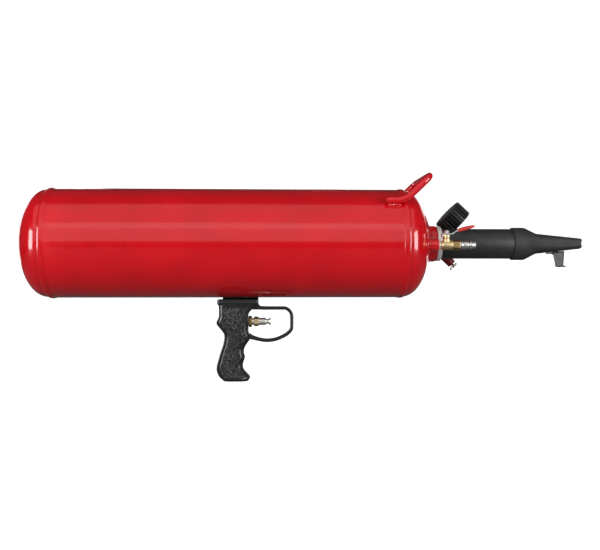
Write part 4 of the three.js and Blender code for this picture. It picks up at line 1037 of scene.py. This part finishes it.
class BEADSEATER_OT_grip(bpy.types.Operator):
    """Build the two halves of the pistol grip, its guard, the bracket and the screws"""
    bl_idname = "beadseater.grip"
    bl_label = "Grip"

    def execute(self, context):
        settings = context.scene.beadseater_grip
        for sign, name, node in ((-1, "grip_near", "grip_near_half"), (1, "grip_far", "grip_far_half")):
            self.half(settings, sign, name, node)
        self.bracket()
        for number in (1, 2, 3):
            self.screw(f"grip_screw_{number}")
        return {"FINISHED"}

    def section(self, z, sign, half_thickness, parting):
        """Half of one level section: an open arc from back to front, closed on the parting plane."""
        back = read_outline(GRIP_BACK, z)
        front = read_outline(GRIP_FRONT, z)
        centre = (back + front) / 2
        half = (front - back) / 2
        power = 2.7 + 3.0 / (1 + exp(-(z / MM - 44) / 5))
        ring = []
        count = 64
        for k in range(count + 1):
            angle = pi * k / count
            c = -cos(angle)
            s = sin(angle)
            x = centre + half * squared(c, power)
            y = half_thickness * s ** (2 / power)
            y *= 1 - self.recess(x, z, back, front) / half_thickness
            y *= 1 - self.scoop(x, z, front)
            ring.append((x, sign * max(y, parting), z))
        return ring

    def recess(self, x, z, back, front):
        """The stippled panel lies a little below the smooth border."""
        margin = min(x - back - 6.0 * MM, front - x - 5.5 * MM, 61 * MM - z, z + 37 * MM)
        return 0.55 * MM * min(1.0, max(0.0, margin / (0.8 * MM)))

    def scoop(self, x, z, front):
        """Finger scoops that cut into the sides behind the front ridge."""
        depth = 0.0
        for height, reach in ((3 * MM, 13 * MM), (-22 * MM, 14 * MM)):
            across = (x - front + 2 * MM) / (9 * MM)
            along = (z - height) / reach
            depth += 0.34 * exp(-across * across - along * along)
        return depth

    def half(self, settings, sign, name, node):
        collar_top = high(node).z
        collar_base = collar_top - 6.5 * MM
        base = low(node).z
        thickness = high("grip_far_half").y
        parting = settings.parting / 2
        steps = 118
        rings = []
        heel = 3.2 * MM
        for k in range(steps + 1):
            z = base + (collar_base - base) * k / steps
            sink = max(0.0, 1 - (z - base) / heel)
            pull = 1 - 0.16 * (1 - sqrt(max(0.0, 1 - sink * sink)))
            waist = 1 - 0.05 * exp(-((z / MM - 18) / 22) ** 2)
            rings.append(self.section(z, sign, thickness * pull * waist, parting))
        body = loft(rings)
        collar = self.collar(sign, collar_base, collar_top, thickness, parting)
        guard = self.guard(settings, sign, parting)

        def choose(centre, normal):
            z = centre.z
            if z > collar_base - 2 * MM or abs(normal.y) < 0.35 or abs(centre.y) < 7 * MM:
                return 0
            back = read_outline(GRIP_BACK, z)
            front = read_outline(GRIP_FRONT, z)
            return 1 if self.recess(centre.x, z, back, front) > 0.3 * MM else 0

        fillet = self.guard_fillet(sign, collar_base, parting)
        piece(name, joined(body, collar, guard, fillet), MATERIALS["grip_smooth"], [node],
              sharp=48, more_materials=[MATERIALS["grip_panel"]], choose=choose)

    def collar(self, sign, z0, z1, thickness, parting):
        """The lip round the top of the grip."""
        x0 = read_outline(GRIP_BACK, z0) - 1.6 * MM
        x1 = high("grip_bracket").x
        corner = 4 * MM
        outline = [(x0, parting), (x0, thickness), (x1, thickness), (x1, parting)]
        ring = rounded(outline, corner, 6)
        rings = []
        for z, inset in ((z0 - 1.2 * MM, 1.2 * MM), (z0, 0.2 * MM), (z0 + 0.6 * MM, 0.0),
                         (z1 - 0.6 * MM, 0.0), (z1, 0.6 * MM)):
            centre = (x0 + x1) / 2
            grow = 1 - inset / ((x1 - x0) / 2)
            thin = 1 - inset / thickness
            rings.append([(centre + (p[0] - centre) * grow, sign * max(p[1] * thin, parting), z)
                          for p in ring])
        return loft(rings)

    def guard(self, settings, sign, parting):
        """Half of the trigger guard: a flat bar with rounded edges along its loop."""
        path = smooth_path([(x * MM, 0, z * MM) for x, z in GUARD_PATH], 7 * MM, 6, 2 * MM)
        half_bar = settings.guard_bar / 2
        half_width = 6.5 * MM
        count = 20
        section = []
        for k in range(count + 1):
            angle = pi * k / count
            side = half_bar * squared(cos(angle), 4)
            section.append((side, sign * max(parting, half_width * sin(angle) ** 0.5)))
        rings = []
        for i, point in enumerate(path):
            before = path[max(0, i - 1)]
            after = path[min(len(path) - 1, i + 1)]
            along = (after - before).normalized()
            across = Vector((-along.z, 0, along.x))
            root = 1 + 1.1 * exp(-i / 4) + 0.5 * exp(-(len(path) - 1 - i) / 4)
            rings.append([point + across * side * root + Vector((0, y, 0)) for side, y in section])
        return loft(rings)

    def guard_fillet(self, sign, collar_base, parting):
        """The concave fillet between the front of the collar and the top of the guard."""
        corner = high("grip_bracket").x - 0.4 * MM
        guard_top = 61.3 * MM
        reach = 6.2 * MM
        outline = [(corner - 4 * MM, guard_top - 1.5 * MM), (corner - 4 * MM, collar_base + 2 * MM),
                   (corner, collar_base + 2 * MM)]
        for k in range(13):
            angle = pi / 2 * k / 12
            outline.append((corner + reach * (1 - cos(angle)),
                            guard_top + reach * (1 - sin(angle))))
        outline.append((corner + reach, guard_top - 1.5 * MM))
        return plate(outline, sign * parting, sign * 6.3 * MM)

    def bracket(self):
        """The welded plate between the tank and the grip; its top follows the shell."""
        start, end = low("grip_bracket"), high("grip_bracket")
        half = end.y
        base = high("grip_near_half").z + 0.3 * MM
        skin = TANK_RADIUS + 0.1 * MM
        steps = 24
        outline = [(-half, base), (half, base)]
        for k in range(steps + 1):
            y = half - 2 * half * k / steps
            outline.append((y, TANK_AXIS.z - sqrt(skin * skin - y * y)))
        rings = [[(x, y, z) for y, z in outline] for x in (start.x, end.x)]
        piece("bracket_plate", loft(rings), MATERIALS["barrel_coat"],
              bevel=0.4 * MM)

    def screw(self, node):
        """A cross-recessed pan head, sunk in the far half."""
        centre = middle(node)
        start, end = low(node).y, high(node).y
        radius = (high(node).x - low(node).x) / 2
        shank = at(start, (0, 0), (0, 1.6)) + at(end, (-2, 1.6))
        head = [(end - 2 * MM, radius), (end - 0.6 * MM, radius), (end, radius * 0.6)]
        recess = at(end, (0, 1.1), (-1.3, 0.8), (-1.5, 0))
        turn = Matrix.Translation((centre.x, 0, centre.z)) @ Matrix.Rotation(pi / 2, 4, "Z")
        piece(node + "_turned", moved(turned(shank + head + recess, 0.2 * MM, 40), turn),
              MATERIALS["plated_steel"], [node])


class BEADSEATER_OT_trigger(bpy.types.Operator):
    """Build the trigger valve and its flared button"""
    bl_idname = "beadseater.trigger"
    bl_label = "Trigger"

    def execute(self, context):
        nut_low, nut_high = low("trigger_nut").x, high("trigger_nut").x
        across = (high("trigger_nut").z - low("trigger_nut").z) * cos(pi / 6)
        nut = hex_nut(nut_low, nut_high, across, 5.1 * MM)
        piece("trigger_lock_nut", moved(nut, ON_TRIGGER), MATERIALS["dark_brass"], ["trigger_nut"])

        end = high("trigger_valve_body").x
        neck = 4.9 * MM
        cylinder = 5.15 * MM
        bore = 4.2 * MM
        hex_end = end - 10.3 * MM
        hex_start = hex_end - 6.6 * MM
        start = low("trigger_valve_body").x
        chamber = 16 * MM
        body = turned([(start, 0), (start, 6 * MM), (19 * MM, 6 * MM), (19 * MM, neck),
                       (hex_start + 0.5 * MM, neck), (hex_start + 0.5 * MM, bore),
                       (chamber, bore), (chamber, 0)], 0.3 * MM)
        sleeve = turned([(hex_start, bore), (hex_start, neck), (hex_end, neck),
                         (hex_end, cylinder), (end - 1.2 * MM, cylinder),
                         (end - 0.9 * MM, cylinder - 0.5 * MM), (end, cylinder - 0.3 * MM),
                         (end, bore)], 0.25 * MM)
        collar = hex_nut(hex_start, hex_end, 13.7 * MM * cos(pi / 6), bore + 0.3 * MM)
        piece("trigger_valve", moved(joined(body, sleeve), ON_TRIGGER), MATERIALS["nickel"],
              ["trigger_valve_body"])
        piece("trigger_valve_hex", moved(collar, ON_TRIGGER), MATERIALS["brass"])

        tip = high("trigger_plunger").x
        back = low("trigger_plunger").x
        stem = 3.8 * MM
        rod = [(back, 0), (back, stem), (end + 0.4 * MM, stem), (end + 0.9 * MM, stem - 0.5 * MM),
               (tip - 3.2 * MM, stem - 0.4 * MM)]
        flare = at(tip, (-2.2, 4.4), (-0.6, 5.35), (0, 5.2), (-0.2, 4.3), (-0.9, 2), (-1.1, 0))
        button = turned(rod + flare, 0.35 * MM)
        piece("trigger_button", moved(button, ON_TRIGGER), MATERIALS["nickel"],
              ["trigger_plunger"], body="trigger")
        return {"FINISHED"}


# ---------------------------------------------------------------- fill valve

class BEADSEATER_OT_fill_valve(bpy.types.Operator):
    """Build the ball valve, its lever and the quick-connect plug"""
    bl_idname = "beadseater.fill_valve"
    bl_label = "Fill valve"

    def execute(self, context):
        settings = context.scene.beadseater_fittings
        chamfer = settings.chamfer
        self.body(chamfer)
        self.end_and_plug(chamfer)
        self.lever()
        return {"FINISHED"}

    def body(self, chamfer):
        x1 = high("fill_valve_body").x
        x0 = high("fill_boss").x + 2 * MM
        shell = (high("fill_valve_body").y - low("fill_valve_body").y) / 2
        bonnet_top = high("fill_valve_body").z - FILL_AXIS.z
        thread = tube(x0 - 12 * MM, x0 + 1 * MM, 2.2 * MM, 3.9 * MM, chamfer, 48)
        barrel = turned([(x0, 2.2 * MM), (x0, shell - 1.6 * MM), (x0 + 2.4 * MM, shell - 1.6 * MM),
                         (x0 + 3.6 * MM, shell), (x1, shell), (x1, 5.3 * MM)], 0.7 * MM)
        bonnet = at(0, (2, 0), (2, 5), (8, 5), (8.6, 4.3))
        bonnet += at(bonnet_top, (-3.4, 4.3), (-3, 4.9), (0, 4.9), (0, 0))
        upright = Matrix.Translation((BALL_X, 0, 0)) @ Z_TO_X
        shapes = joined(thread, barrel, moved(turned(bonnet, 0.5 * MM, 48), upright))
        piece("valve_casting", moved(shapes, ON_FILL), MATERIALS["brass"], ["fill_valve_body"])
        washer = tube(high("fill_boss").x + 0.2 * MM, x0 - 0.2 * MM, 4 * MM, 6.1 * MM, 0.5 * MM, 48)
        piece("fill_washer", moved(washer, ON_FILL), MATERIALS["ring_steel"])

    def end_and_plug(self, chamfer):
        x1 = high("fill_valve_end").x
        x0 = high("fill_valve_body").x + 0.3 * MM
        across = (high("fill_valve_end").y - low("fill_valve_end").y)
        spigot = tube(low("fill_valve_end").x, x0 + 1 * MM, 2.2 * MM, 4.8 * MM, chamfer, 48)
        nut = hex_nut(x0, x1, across, 2.2 * MM)
        piece("valve_end_hex", moved(joined(spigot, nut), ON_FILL), MATERIALS["dark_brass"],
              ["fill_valve_end"])

        tip = high("fill_plug").x
        start = x1 + 0.3 * MM
        plug = at(low("fill_plug").x, (0, 2.2), (0, 3.9))
        plug += at(start, (0, 3.9), (0, 5.6), (2.6, 5.6), (2.9, 5.1), (3.7, 5.1), (4, 5.6))
        plug += at(tip, (-11, 5.6), (-10.2, 4.5), (-8.4, 4.5), (-8.1, 5.75), (-5.8, 5.75),
                   (-5, 4.85), (-0.8, 4.7), (0, 4.1), (0, 2.2))
        piece("quick_plug", moved(turned(plug, 0.3 * MM), ON_FILL), MATERIALS["plated_steel"],
              ["fill_plug"])

    def lever(self):
        """The pressed lever, its soft sleeve and the nut that holds it."""
        half = (high("fill_lever").y - low("fill_lever").y) / 2
        sheet = 1.5 * MM
        start, end = low("fill_lever"), high("fill_lever")
        base = high("fill_valve_body").z + 0.4 * MM - FILL_AXIS.z
        sleeve_low, sleeve_high = low("lever_sleeve"), high("lever_sleeve")
        rise = 5.8 * MM
        high_z = base + 6 * MM
        top = [(start.x, base + sheet), (BALL_X + 6.8 * MM, base + sheet),
               (sleeve_low.x, high_z), (end.x, high_z + rise)]
        under = [(end.x, high_z + rise - sheet), (sleeve_low.x, high_z - sheet),
                 (BALL_X + 7.6 * MM, base), (start.x + 1.5 * MM, base),
                 (start.x + 1.5 * MM, base - 3.5 * MM), (start.x, base - 3.5 * MM)]
        outline = rounded(top + under, 1.2 * MM, 4, closed=True)
        lever = plate(pairs(outline), -half, half)
        piece("lever_strip", moved(lever, ON_FILL), MATERIALS["plated_steel"], ["fill_lever"],
              body="fill_handle", bevel=0.3 * MM)

        reach = sleeve_high.x - sleeve_low.x
        slope = rise / (end.x - sleeve_low.x)
        rings = []
        steps = 36
        for k in range(steps + 1):
            t = k / steps
            x = sleeve_low.x + reach * t
            z = high_z - sheet / 2 + slope * reach * t
            wide = eased(t, [(0, 3.4), (0.12, 5.6), (0.5, 6.3), (0.9, 5.9), (1, 4.2)], 0.06)
            thick = eased(t, [(0, 1.3), (0.2, 2.9), (0.55, 2.8), (0.92, 2.0), (1, 1.2)], 0.08)
            rings.append([(x, a, z + b) for a, b in superellipse(wide * MM, thick * MM, 2.6, 40)])
        piece("lever_grip_sleeve", moved(loft(rings), ON_FILL), MATERIALS["sleeve"],
              ["lever_sleeve"], body="fill_handle", sharp=60)

        nut_low = low("lever_nut").z - FILL_AXIS.z
        nut_high = high("lever_nut").z - FILL_AXIS.z
        nut = hex_nut(nut_low, nut_high - 0.6 * MM, 6.5 * MM, 1.7 * MM, 0.25 * MM)
        cap = at(nut_low, (1, 0), (1, 1.65)) + at(nut_high, (-0.3, 1.65), (0, 1.1), (0, 0))
        upright = ON_FILL @ Matrix.Translation((BALL_X, 0, 0)) @ Z_TO_X
        piece("lever_lock_nut", moved(joined(nut, turned(cap, 0.2 * MM, 32)), upright),
              MATERIALS["plated_steel"], ["lever_nut"], body="fill_handle")


# ---------------------------------------------------------------- gauge and relief valve

class BEADSEATER_OT_gauge(bpy.types.Operator):
    """Build the manifold, the pressure gauge in its boot, and the relief valve"""
    bl_idname = "beadseater.gauge"
    bl_label = "Gauge and relief valve"

    def execute(self, context):
        settings = context.scene.beadseater_gauge
        self.manifold()
        self.boot(settings)
        self.dial(settings)
        self.lens()
        self.relief()
        return {"FINISHED"}

    def manifold(self):
        face = high("gauge_boss").x
        body = at(face, (0.3, 3), (0.3, 6.2), (1.5, 7.3)) + at(HUB.x, (2, 7.4), (5.5, 5.2), (6.4, 3))
        thread = tube(low("gauge_manifold").x, face + 1 * MM, 2.2 * MM, 3.9 * MM, 0.4 * MM, 48)
        reach = 15 * MM
        branch = at(0, (0, 2.2), (0, 6)) + at(reach, (-3.6, 6), (-3.2, 6.6), (0, 6.6), (0, 2.2))
        branch = turned(branch, 0.5 * MM, 64)
        shapes = joined(moved(joined(turned(body, 1.4 * MM, 64), thread), ON_GAUGE_SIDE),
                        moved(branch, ON_STEM), moved(branch, ON_RELIEF))
        piece("branch_casting", shapes, MATERIALS["fitting_paint_painted_shade"], ["gauge_manifold"])
        hexagonal = hex_nut(reach + 0.4 * MM, reach + 8 * MM, 11 * MM, 3 * MM)
        piece("gauge_stem_hex", moved(hexagonal, ON_STEM), MATERIALS["gauge_metal"])

    def boot(self, settings):
        """Ribbed rubber cup: ribs run from the face to the back."""
        outer = (high("gauge_boot").y - low("gauge_boot").y) / 2
        half = 12 * MM
        lip = 17.1 * MM
        case = 20.2 * MM
        ribs = settings.ribs
        rib_height = settings.rib_height

        def ribbed(x, r, angle):
            if r < outer - 2.6 * MM:
                return r
            crest = max(-1.0, min(1.0, cos(angle * ribs) * 1.6))
            return r - rib_height * (0.5 - 0.5 * crest)

        profile = rounded([(-half, 0), (-half, outer - 0.7 * MM), (-half + 0.7 * MM, outer),
                           (half - 0.7 * MM, outer), (half, outer - 0.7 * MM), (half, lip),
                           (9.4 * MM, lip), (9.4 * MM, case), (-9.4 * MM, case), (-9.4 * MM, 0)],
                          0.6 * MM, 3)
        cup = revolve(pairs(profile), ribs * 16, False, ribbed)
        nub = turned(at(-half, (-1.6, 0), (-1.6, 2.2), (0.4, 3.2), (0.4, 0)), 0.7 * MM, 40)
        stand = ON_DIAL @ Z_TO_X
        piece("ribbed_boot", moved(joined(cup, nub), stand), MATERIALS["boot_rubber"],
              ["gauge_boot"], sharp=50)

    def dial(self, settings):
        """A plain scale with ticks and numbers, a needle and its hub."""
        radius = 17.6 * MM
        face = turned([(3.5 * MM, 0), (3.5 * MM, radius), (4.5 * MM, radius), (4.5 * MM, 0)],
                      0.2 * MM, 96)
        piece("dial_plate", moved(face, ON_DIAL @ Z_TO_X), MATERIALS["dial"], ["gauge_dial"])
        level = 4.56 * MM
        marks = []
        steps = settings.full_scale * 5
        sweep_angle = radians(270)
        first = radians(225)

        def mark(angle, r0, r1, width):
            along = Vector((cos(angle), sin(angle), 0))
            side = Vector((-sin(angle), cos(angle), 0)) * width / 2
            base = Vector((0, 0, level))
            low_ring = [base + along * r0 - side, base + along * r1 - side,
                        base + along * r1 + side, base + along * r0 + side]
            high_ring = [p + Vector((0, 0, 0.05 * MM)) for p in low_ring]
            return loft([low_ring, high_ring])

        for k in range(steps + 1):
            angle = first - sweep_angle * k / steps
            major = k % 5 == 0
            inner = radius - (4.2 if major else 2.9) * MM
            marks.append(mark(angle, inner, radius - 1.5 * MM, (0.5 if major else 0.25) * MM))
        to_face = ON_DIAL @ Matrix.Rotation(-pi / 2, 4, "Z")
        piece("dial_ticks", moved(joined(*marks), to_face), MATERIALS["dial_ink"])
        self.numbers(settings, to_face, level, radius, first, sweep_angle)

        hub = at(0, (1.5, 0), (1.5, 0.8), (5.2, 0.8), (5.2, 2.3), (6.3, 2.1), (6.6, 0))
        blade = [(-4.5 * MM, -0.9 * MM), (-4.5 * MM, 0.9 * MM), (13.3 * MM, 0.2 * MM),
                 (13.3 * MM, -0.2 * MM)]
        needle = joined(
            moved(turned(hub, 0.3 * MM, 40), Z_TO_X),
            moved(loft([[(x, y, z) for x, y in blade] for z in (5.4 * MM, 5.8 * MM)]),
                  Matrix.Rotation(first, 4, "Z")))
        piece("pointer", moved(needle, to_face), MATERIALS["dial_ink"], ["gauge_needle"],
              body="needle")

    def numbers(self, settings, to_face, level, radius, first, sweep_angle):
        for value in range(0, settings.full_scale + 1, 2):
            curve = bpy.data.curves.new(f"dial_number_{value}", "FONT")
            curve.body = str(value)
            curve.size = 3.4 * MM
            curve.align_x = "CENTER"
            curve.align_y = "CENTER"
            curve.extrude = 0.02 * MM
            curve.materials.append(MATERIALS["dial_ink"])
            made = put(f"dial_number_{value}", curve)
            angle = first - sweep_angle * value / settings.full_scale
            reach = radius - 6.6 * MM
            place = Matrix.Translation((reach * cos(angle), reach * sin(angle), level + 0.03 * MM))
            made.matrix_world = to_face @ place
            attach(made, "tank")

    def lens(self):
        """A moulded clear lens with a raised rim and a slightly domed middle."""
        outer = 16.7 * MM
        flange = 18.4 * MM
        dome = [(14.0 * MM - (r / 14.0) ** 2 * 1.0 * MM, r * MM) for r in (0, 4, 8, 12)]
        outline = [(7.2 * MM, 0), (7.2 * MM, flange), (9 * MM, flange), (9 * MM, outer),
                   (12.9 * MM, outer), (13.6 * MM, outer - 1.2 * MM), (13.2 * MM, 14 * MM)]
        lens = turned(outline + list(reversed(dome)), 0.4 * MM, 96)
        piece("domed_lens", moved(lens, ON_DIAL @ Z_TO_X), MATERIALS["lens"], ["gauge_lens"])

    def relief(self):
        start = 15.3 * MM
        end = 44.5 * MM
        body = at(start, (4.5, 2), (4.5, 6.6), (6, 6.9), (9, 6.7), (9.6, 6.2), (10.6, 6.2), (11.2, 6.9))
        body = turned(body + at(end, (0, 6.3), (0, 2)), 0.5 * MM, 72)
        thread = tube(start - 6 * MM, start + 1 * MM, 1.9 * MM, 3.9 * MM, 0.4 * MM, 48)
        nut = hex_nut(start, start + 5 * MM, 13.4 * MM, 3 * MM)
        piece("relief_casting", moved(joined(body, thread, nut), ON_RELIEF),
              MATERIALS["fitting_paint_painted_shade"], ["relief_body"])
        self.pull_ring()

    def pull_ring(self):
        """A split ring of round wire: two turns that lie on each other."""
        centre = middle("relief_ring")
        radial = (centre - RING_EYE).normalized()
        across = Vector(JOINTS["ring_swing"]["axis"]).normalized()
        normal = radial.cross(across)
        radius = (centre - RING_EYE).length
        wire = 0.45 * MM
        turns = 1.9
        steps = 150
        path = []
        for k in range(steps + 1):
            angle = pi + tau * turns * k / steps + 0.5
            lift = (k / steps - 0.5) * 1.1 * MM
            path.append(centre + radial * radius * cos(angle) + across * radius * sin(angle)
                        + normal * lift)
        piece("split_ring", sweep(path, circle(wire, 12), up=normal), MATERIALS["plated_steel"],
              ["relief_ring"], body="pull_ring")


# ---------------------------------------------------------------- carried-over nodes and the stage

class BEADSEATER_OT_materials(bpy.types.Operator):
    """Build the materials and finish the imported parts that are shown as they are"""
    bl_idname = "beadseater.materials"
    bl_label = "Materials"

    def execute(self, context):
        build_materials(context.scene)
        for finish, nodes in CARRIED.items():
            for name in nodes:
                made = frame["nodes"][name]
                if not made.material_slots:
                    made.data.materials.append(MATERIALS[finish])
                for slot in made.material_slots:
                    slot.material = MATERIALS[finish]
        for made in frame["nodes"].values():
            for slot in made.material_slots:
                if slot.material and slot.material.name not in MATERIALS:
                    slot.material = MATERIALS["barrel_coat"]
        return {"FINISHED"}


# Each light's name, place, aim, width, depth and power in watts.
SOFTBOXES = (
    ("overhead", (0.05, -0.95, 1.6), (0.05, 0, 0.1), 3.2, 1.9, 8),
    ("front", (0.05, -2.7, 1.3), (0.05, 0, 1.0), 3.8, 2.1, 15),
    ("left_key", (-1.9, -1.5, 0.1), (0, 0, 0.12), 1.1, 1.8, 62),
    ("right_key", (2.0, -1.5, 0.1), (0.1, 0, 0.12), 1.1, 1.8, 54),
    ("far_left", (-1.3, 2.1, 0.5), (0, 0, 0.12), 1.4, 1.2, 9),
    ("far_right", (1.4, 2.1, 0.5), (0.1, 0, 0.12), 1.4, 1.2, 9),
)
WORLD_FILL = 0.05
FLOOR_DROP = 0.26
# How much of its colour the backdrop gives to light that the camera doesn't see directly.
BACKDROP_RETURN = 0.16


class BEADSEATER_OT_stage(bpy.types.Operator):
    """Build the pale sweep, the soft lights and the camera"""
    bl_idname = "beadseater.stage"
    bl_label = "Stage"

    def execute(self, context):
        settings = context.scene.beadseater_studio
        scene = context.scene
        self.sweep_backdrop(settings)
        self.world(scene)
        for row in SOFTBOXES:
            self.softbox(*row)
        self.camera(scene, settings)
        scene.view_settings.view_transform = "Standard"
        return {"FINISHED"}

    def camera(self, scene, settings):
        lens = bpy.data.cameras.new("camera")
        lens.lens = 50
        lens.sensor_width = 36
        made = put("camera", lens)
        aim = Vector((settings.aim, 0, settings.height))
        back = Vector((-sin(settings.yaw), -cos(settings.yaw), 0))
        made.location = aim + back * settings.distance
        made.rotation_euler = (pi / 2, 0, -settings.yaw)
        scene.camera = made

    def softbox(self, name, place, aim, width, depth, power):
        lamp = bpy.data.lights.new(name, "AREA")
        lamp.shape = "RECTANGLE"
        lamp.size = width
        lamp.size_y = depth
        lamp.energy = power
        made = put(name, lamp)
        made.location = place
        direction = Vector(aim) - Vector(place)
        made.rotation_euler = direction.to_track_quat("-Z", "Y").to_euler()

    def world(self, scene):
        world = bpy.data.worlds.new("studio")
        world.use_nodes = True
        background = world.node_tree.nodes["Background"]
        background.inputs["Color"].default_value = (1, 1, 1, 1)
        rays = world.node_tree.nodes.new("ShaderNodeLightPath")
        strength = map_range(world.node_tree, rays.outputs["Is Camera Ray"], 0, 1, WORLD_FILL, 1.0)
        feed(world.node_tree, background, Strength=strength)
        scene.world = world

    def sweep_backdrop(self, settings):
        """A floor that curves up into a wall behind the object."""
        floor_z = low("grip_near_half").z - FLOOR_DROP
        depth = 3.5
        radius = 1.2
        front = -4.0
        half_width = 6
        wall_height = 4
        profile = [(front, floor_z), (depth - radius, floor_z)]
        steps = 24
        for k in range(1, steps + 1):
            angle = pi / 2 * k / steps
            profile.append((depth - radius + radius * sin(angle),
                            floor_z + radius * (1 - cos(angle))))
        profile.append((depth, floor_z + wall_height))
        verts = []
        for y, z in profile:
            verts += [(-half_width, y, z), (half_width, y, z)]
        faces = [(2 * k, 2 * k + 1, 2 * k + 3, 2 * k + 2) for k in range(len(profile) - 1)]
        mesh = bpy.data.meshes.new("backdrop")
        mesh.from_pydata(verts, [], faces)
        mesh.shade_smooth()
        material, tree, shader = new_material("backdrop")
        grain = use_group(tree, "Fine Grain", Size=2 * MM, Detail=2.0)
        pale = mix_colour(tree, grain.outputs["Shade"], rgba(settings.backdrop, 0.995),
                          rgba(settings.backdrop))
        seen = tree.nodes.new("ShaderNodeLightPath").outputs["Is Camera Ray"]
        shade = mix_colour(tree, seen, rgba(settings.backdrop, BACKDROP_RETURN), pale)
        glow = map_range(tree, seen, 0, 1, 0, settings.glow)
        feed(tree, shader, Base_Color=shade, Emission_Color=shade, Emission_Strength=glow,
             Roughness=0.9)
        mesh.materials.append(material)
        put("backdrop", mesh)


class BEADSEATER_PT_panel(bpy.types.Panel):
    bl_idname = "BEADSEATER_PT_panel"
    bl_label = "Bead Seater"
    bl_space_type = "VIEW_3D"
    bl_region_type = "UI"
    bl_category = "Bead Seater"

    def draw(self, context):
        layout = self.layout
        for operator in OPERATORS:
            layout.operator(operator.bl_idname)
        for name, group in SETTINGS:
            box = layout.box()
            values = getattr(context.scene, name)
            for key in group.__annotations__:
                box.prop(values, key)


SETTINGS = (
    ("beadseater_tank", BEADSEATER_PG_tank),
    ("beadseater_barrel", BEADSEATER_PG_barrel),
    ("beadseater_grip", BEADSEATER_PG_grip),
    ("beadseater_fittings", BEADSEATER_PG_fittings),
    ("beadseater_gauge", BEADSEATER_PG_gauge),
    ("beadseater_studio", BEADSEATER_PG_studio),
)
OPERATORS = (
    BEADSEATER_OT_materials,
    BEADSEATER_OT_stage,
    BEADSEATER_OT_tank,
    BEADSEATER_OT_handle,
    BEADSEATER_OT_barrel,
    BEADSEATER_OT_grip,
    BEADSEATER_OT_trigger,
    BEADSEATER_OT_fill_valve,
    BEADSEATER_OT_gauge,
)


def register():
    for name, group in SETTINGS:
        bpy.utils.register_class(group)
        setattr(bpy.types.Scene, name, PointerProperty(type=group))
    for operator in OPERATORS:
        bpy.utils.register_class(operator)
    bpy.utils.register_class(BEADSEATER_PT_panel)


def unregister():
    bpy.utils.unregister_class(BEADSEATER_PT_panel)
    for operator in reversed(OPERATORS):
        bpy.utils.unregister_class(operator)
    for name, group in reversed(SETTINGS):
        delattr(bpy.types.Scene, name)
        bpy.utils.unregister_class(group)


def main():
    register()
    for operator in OPERATORS:
        getattr(bpy.ops.beadseater, operator.bl_idname.split(".")[1])()


if __name__ == "__main__":
    main()
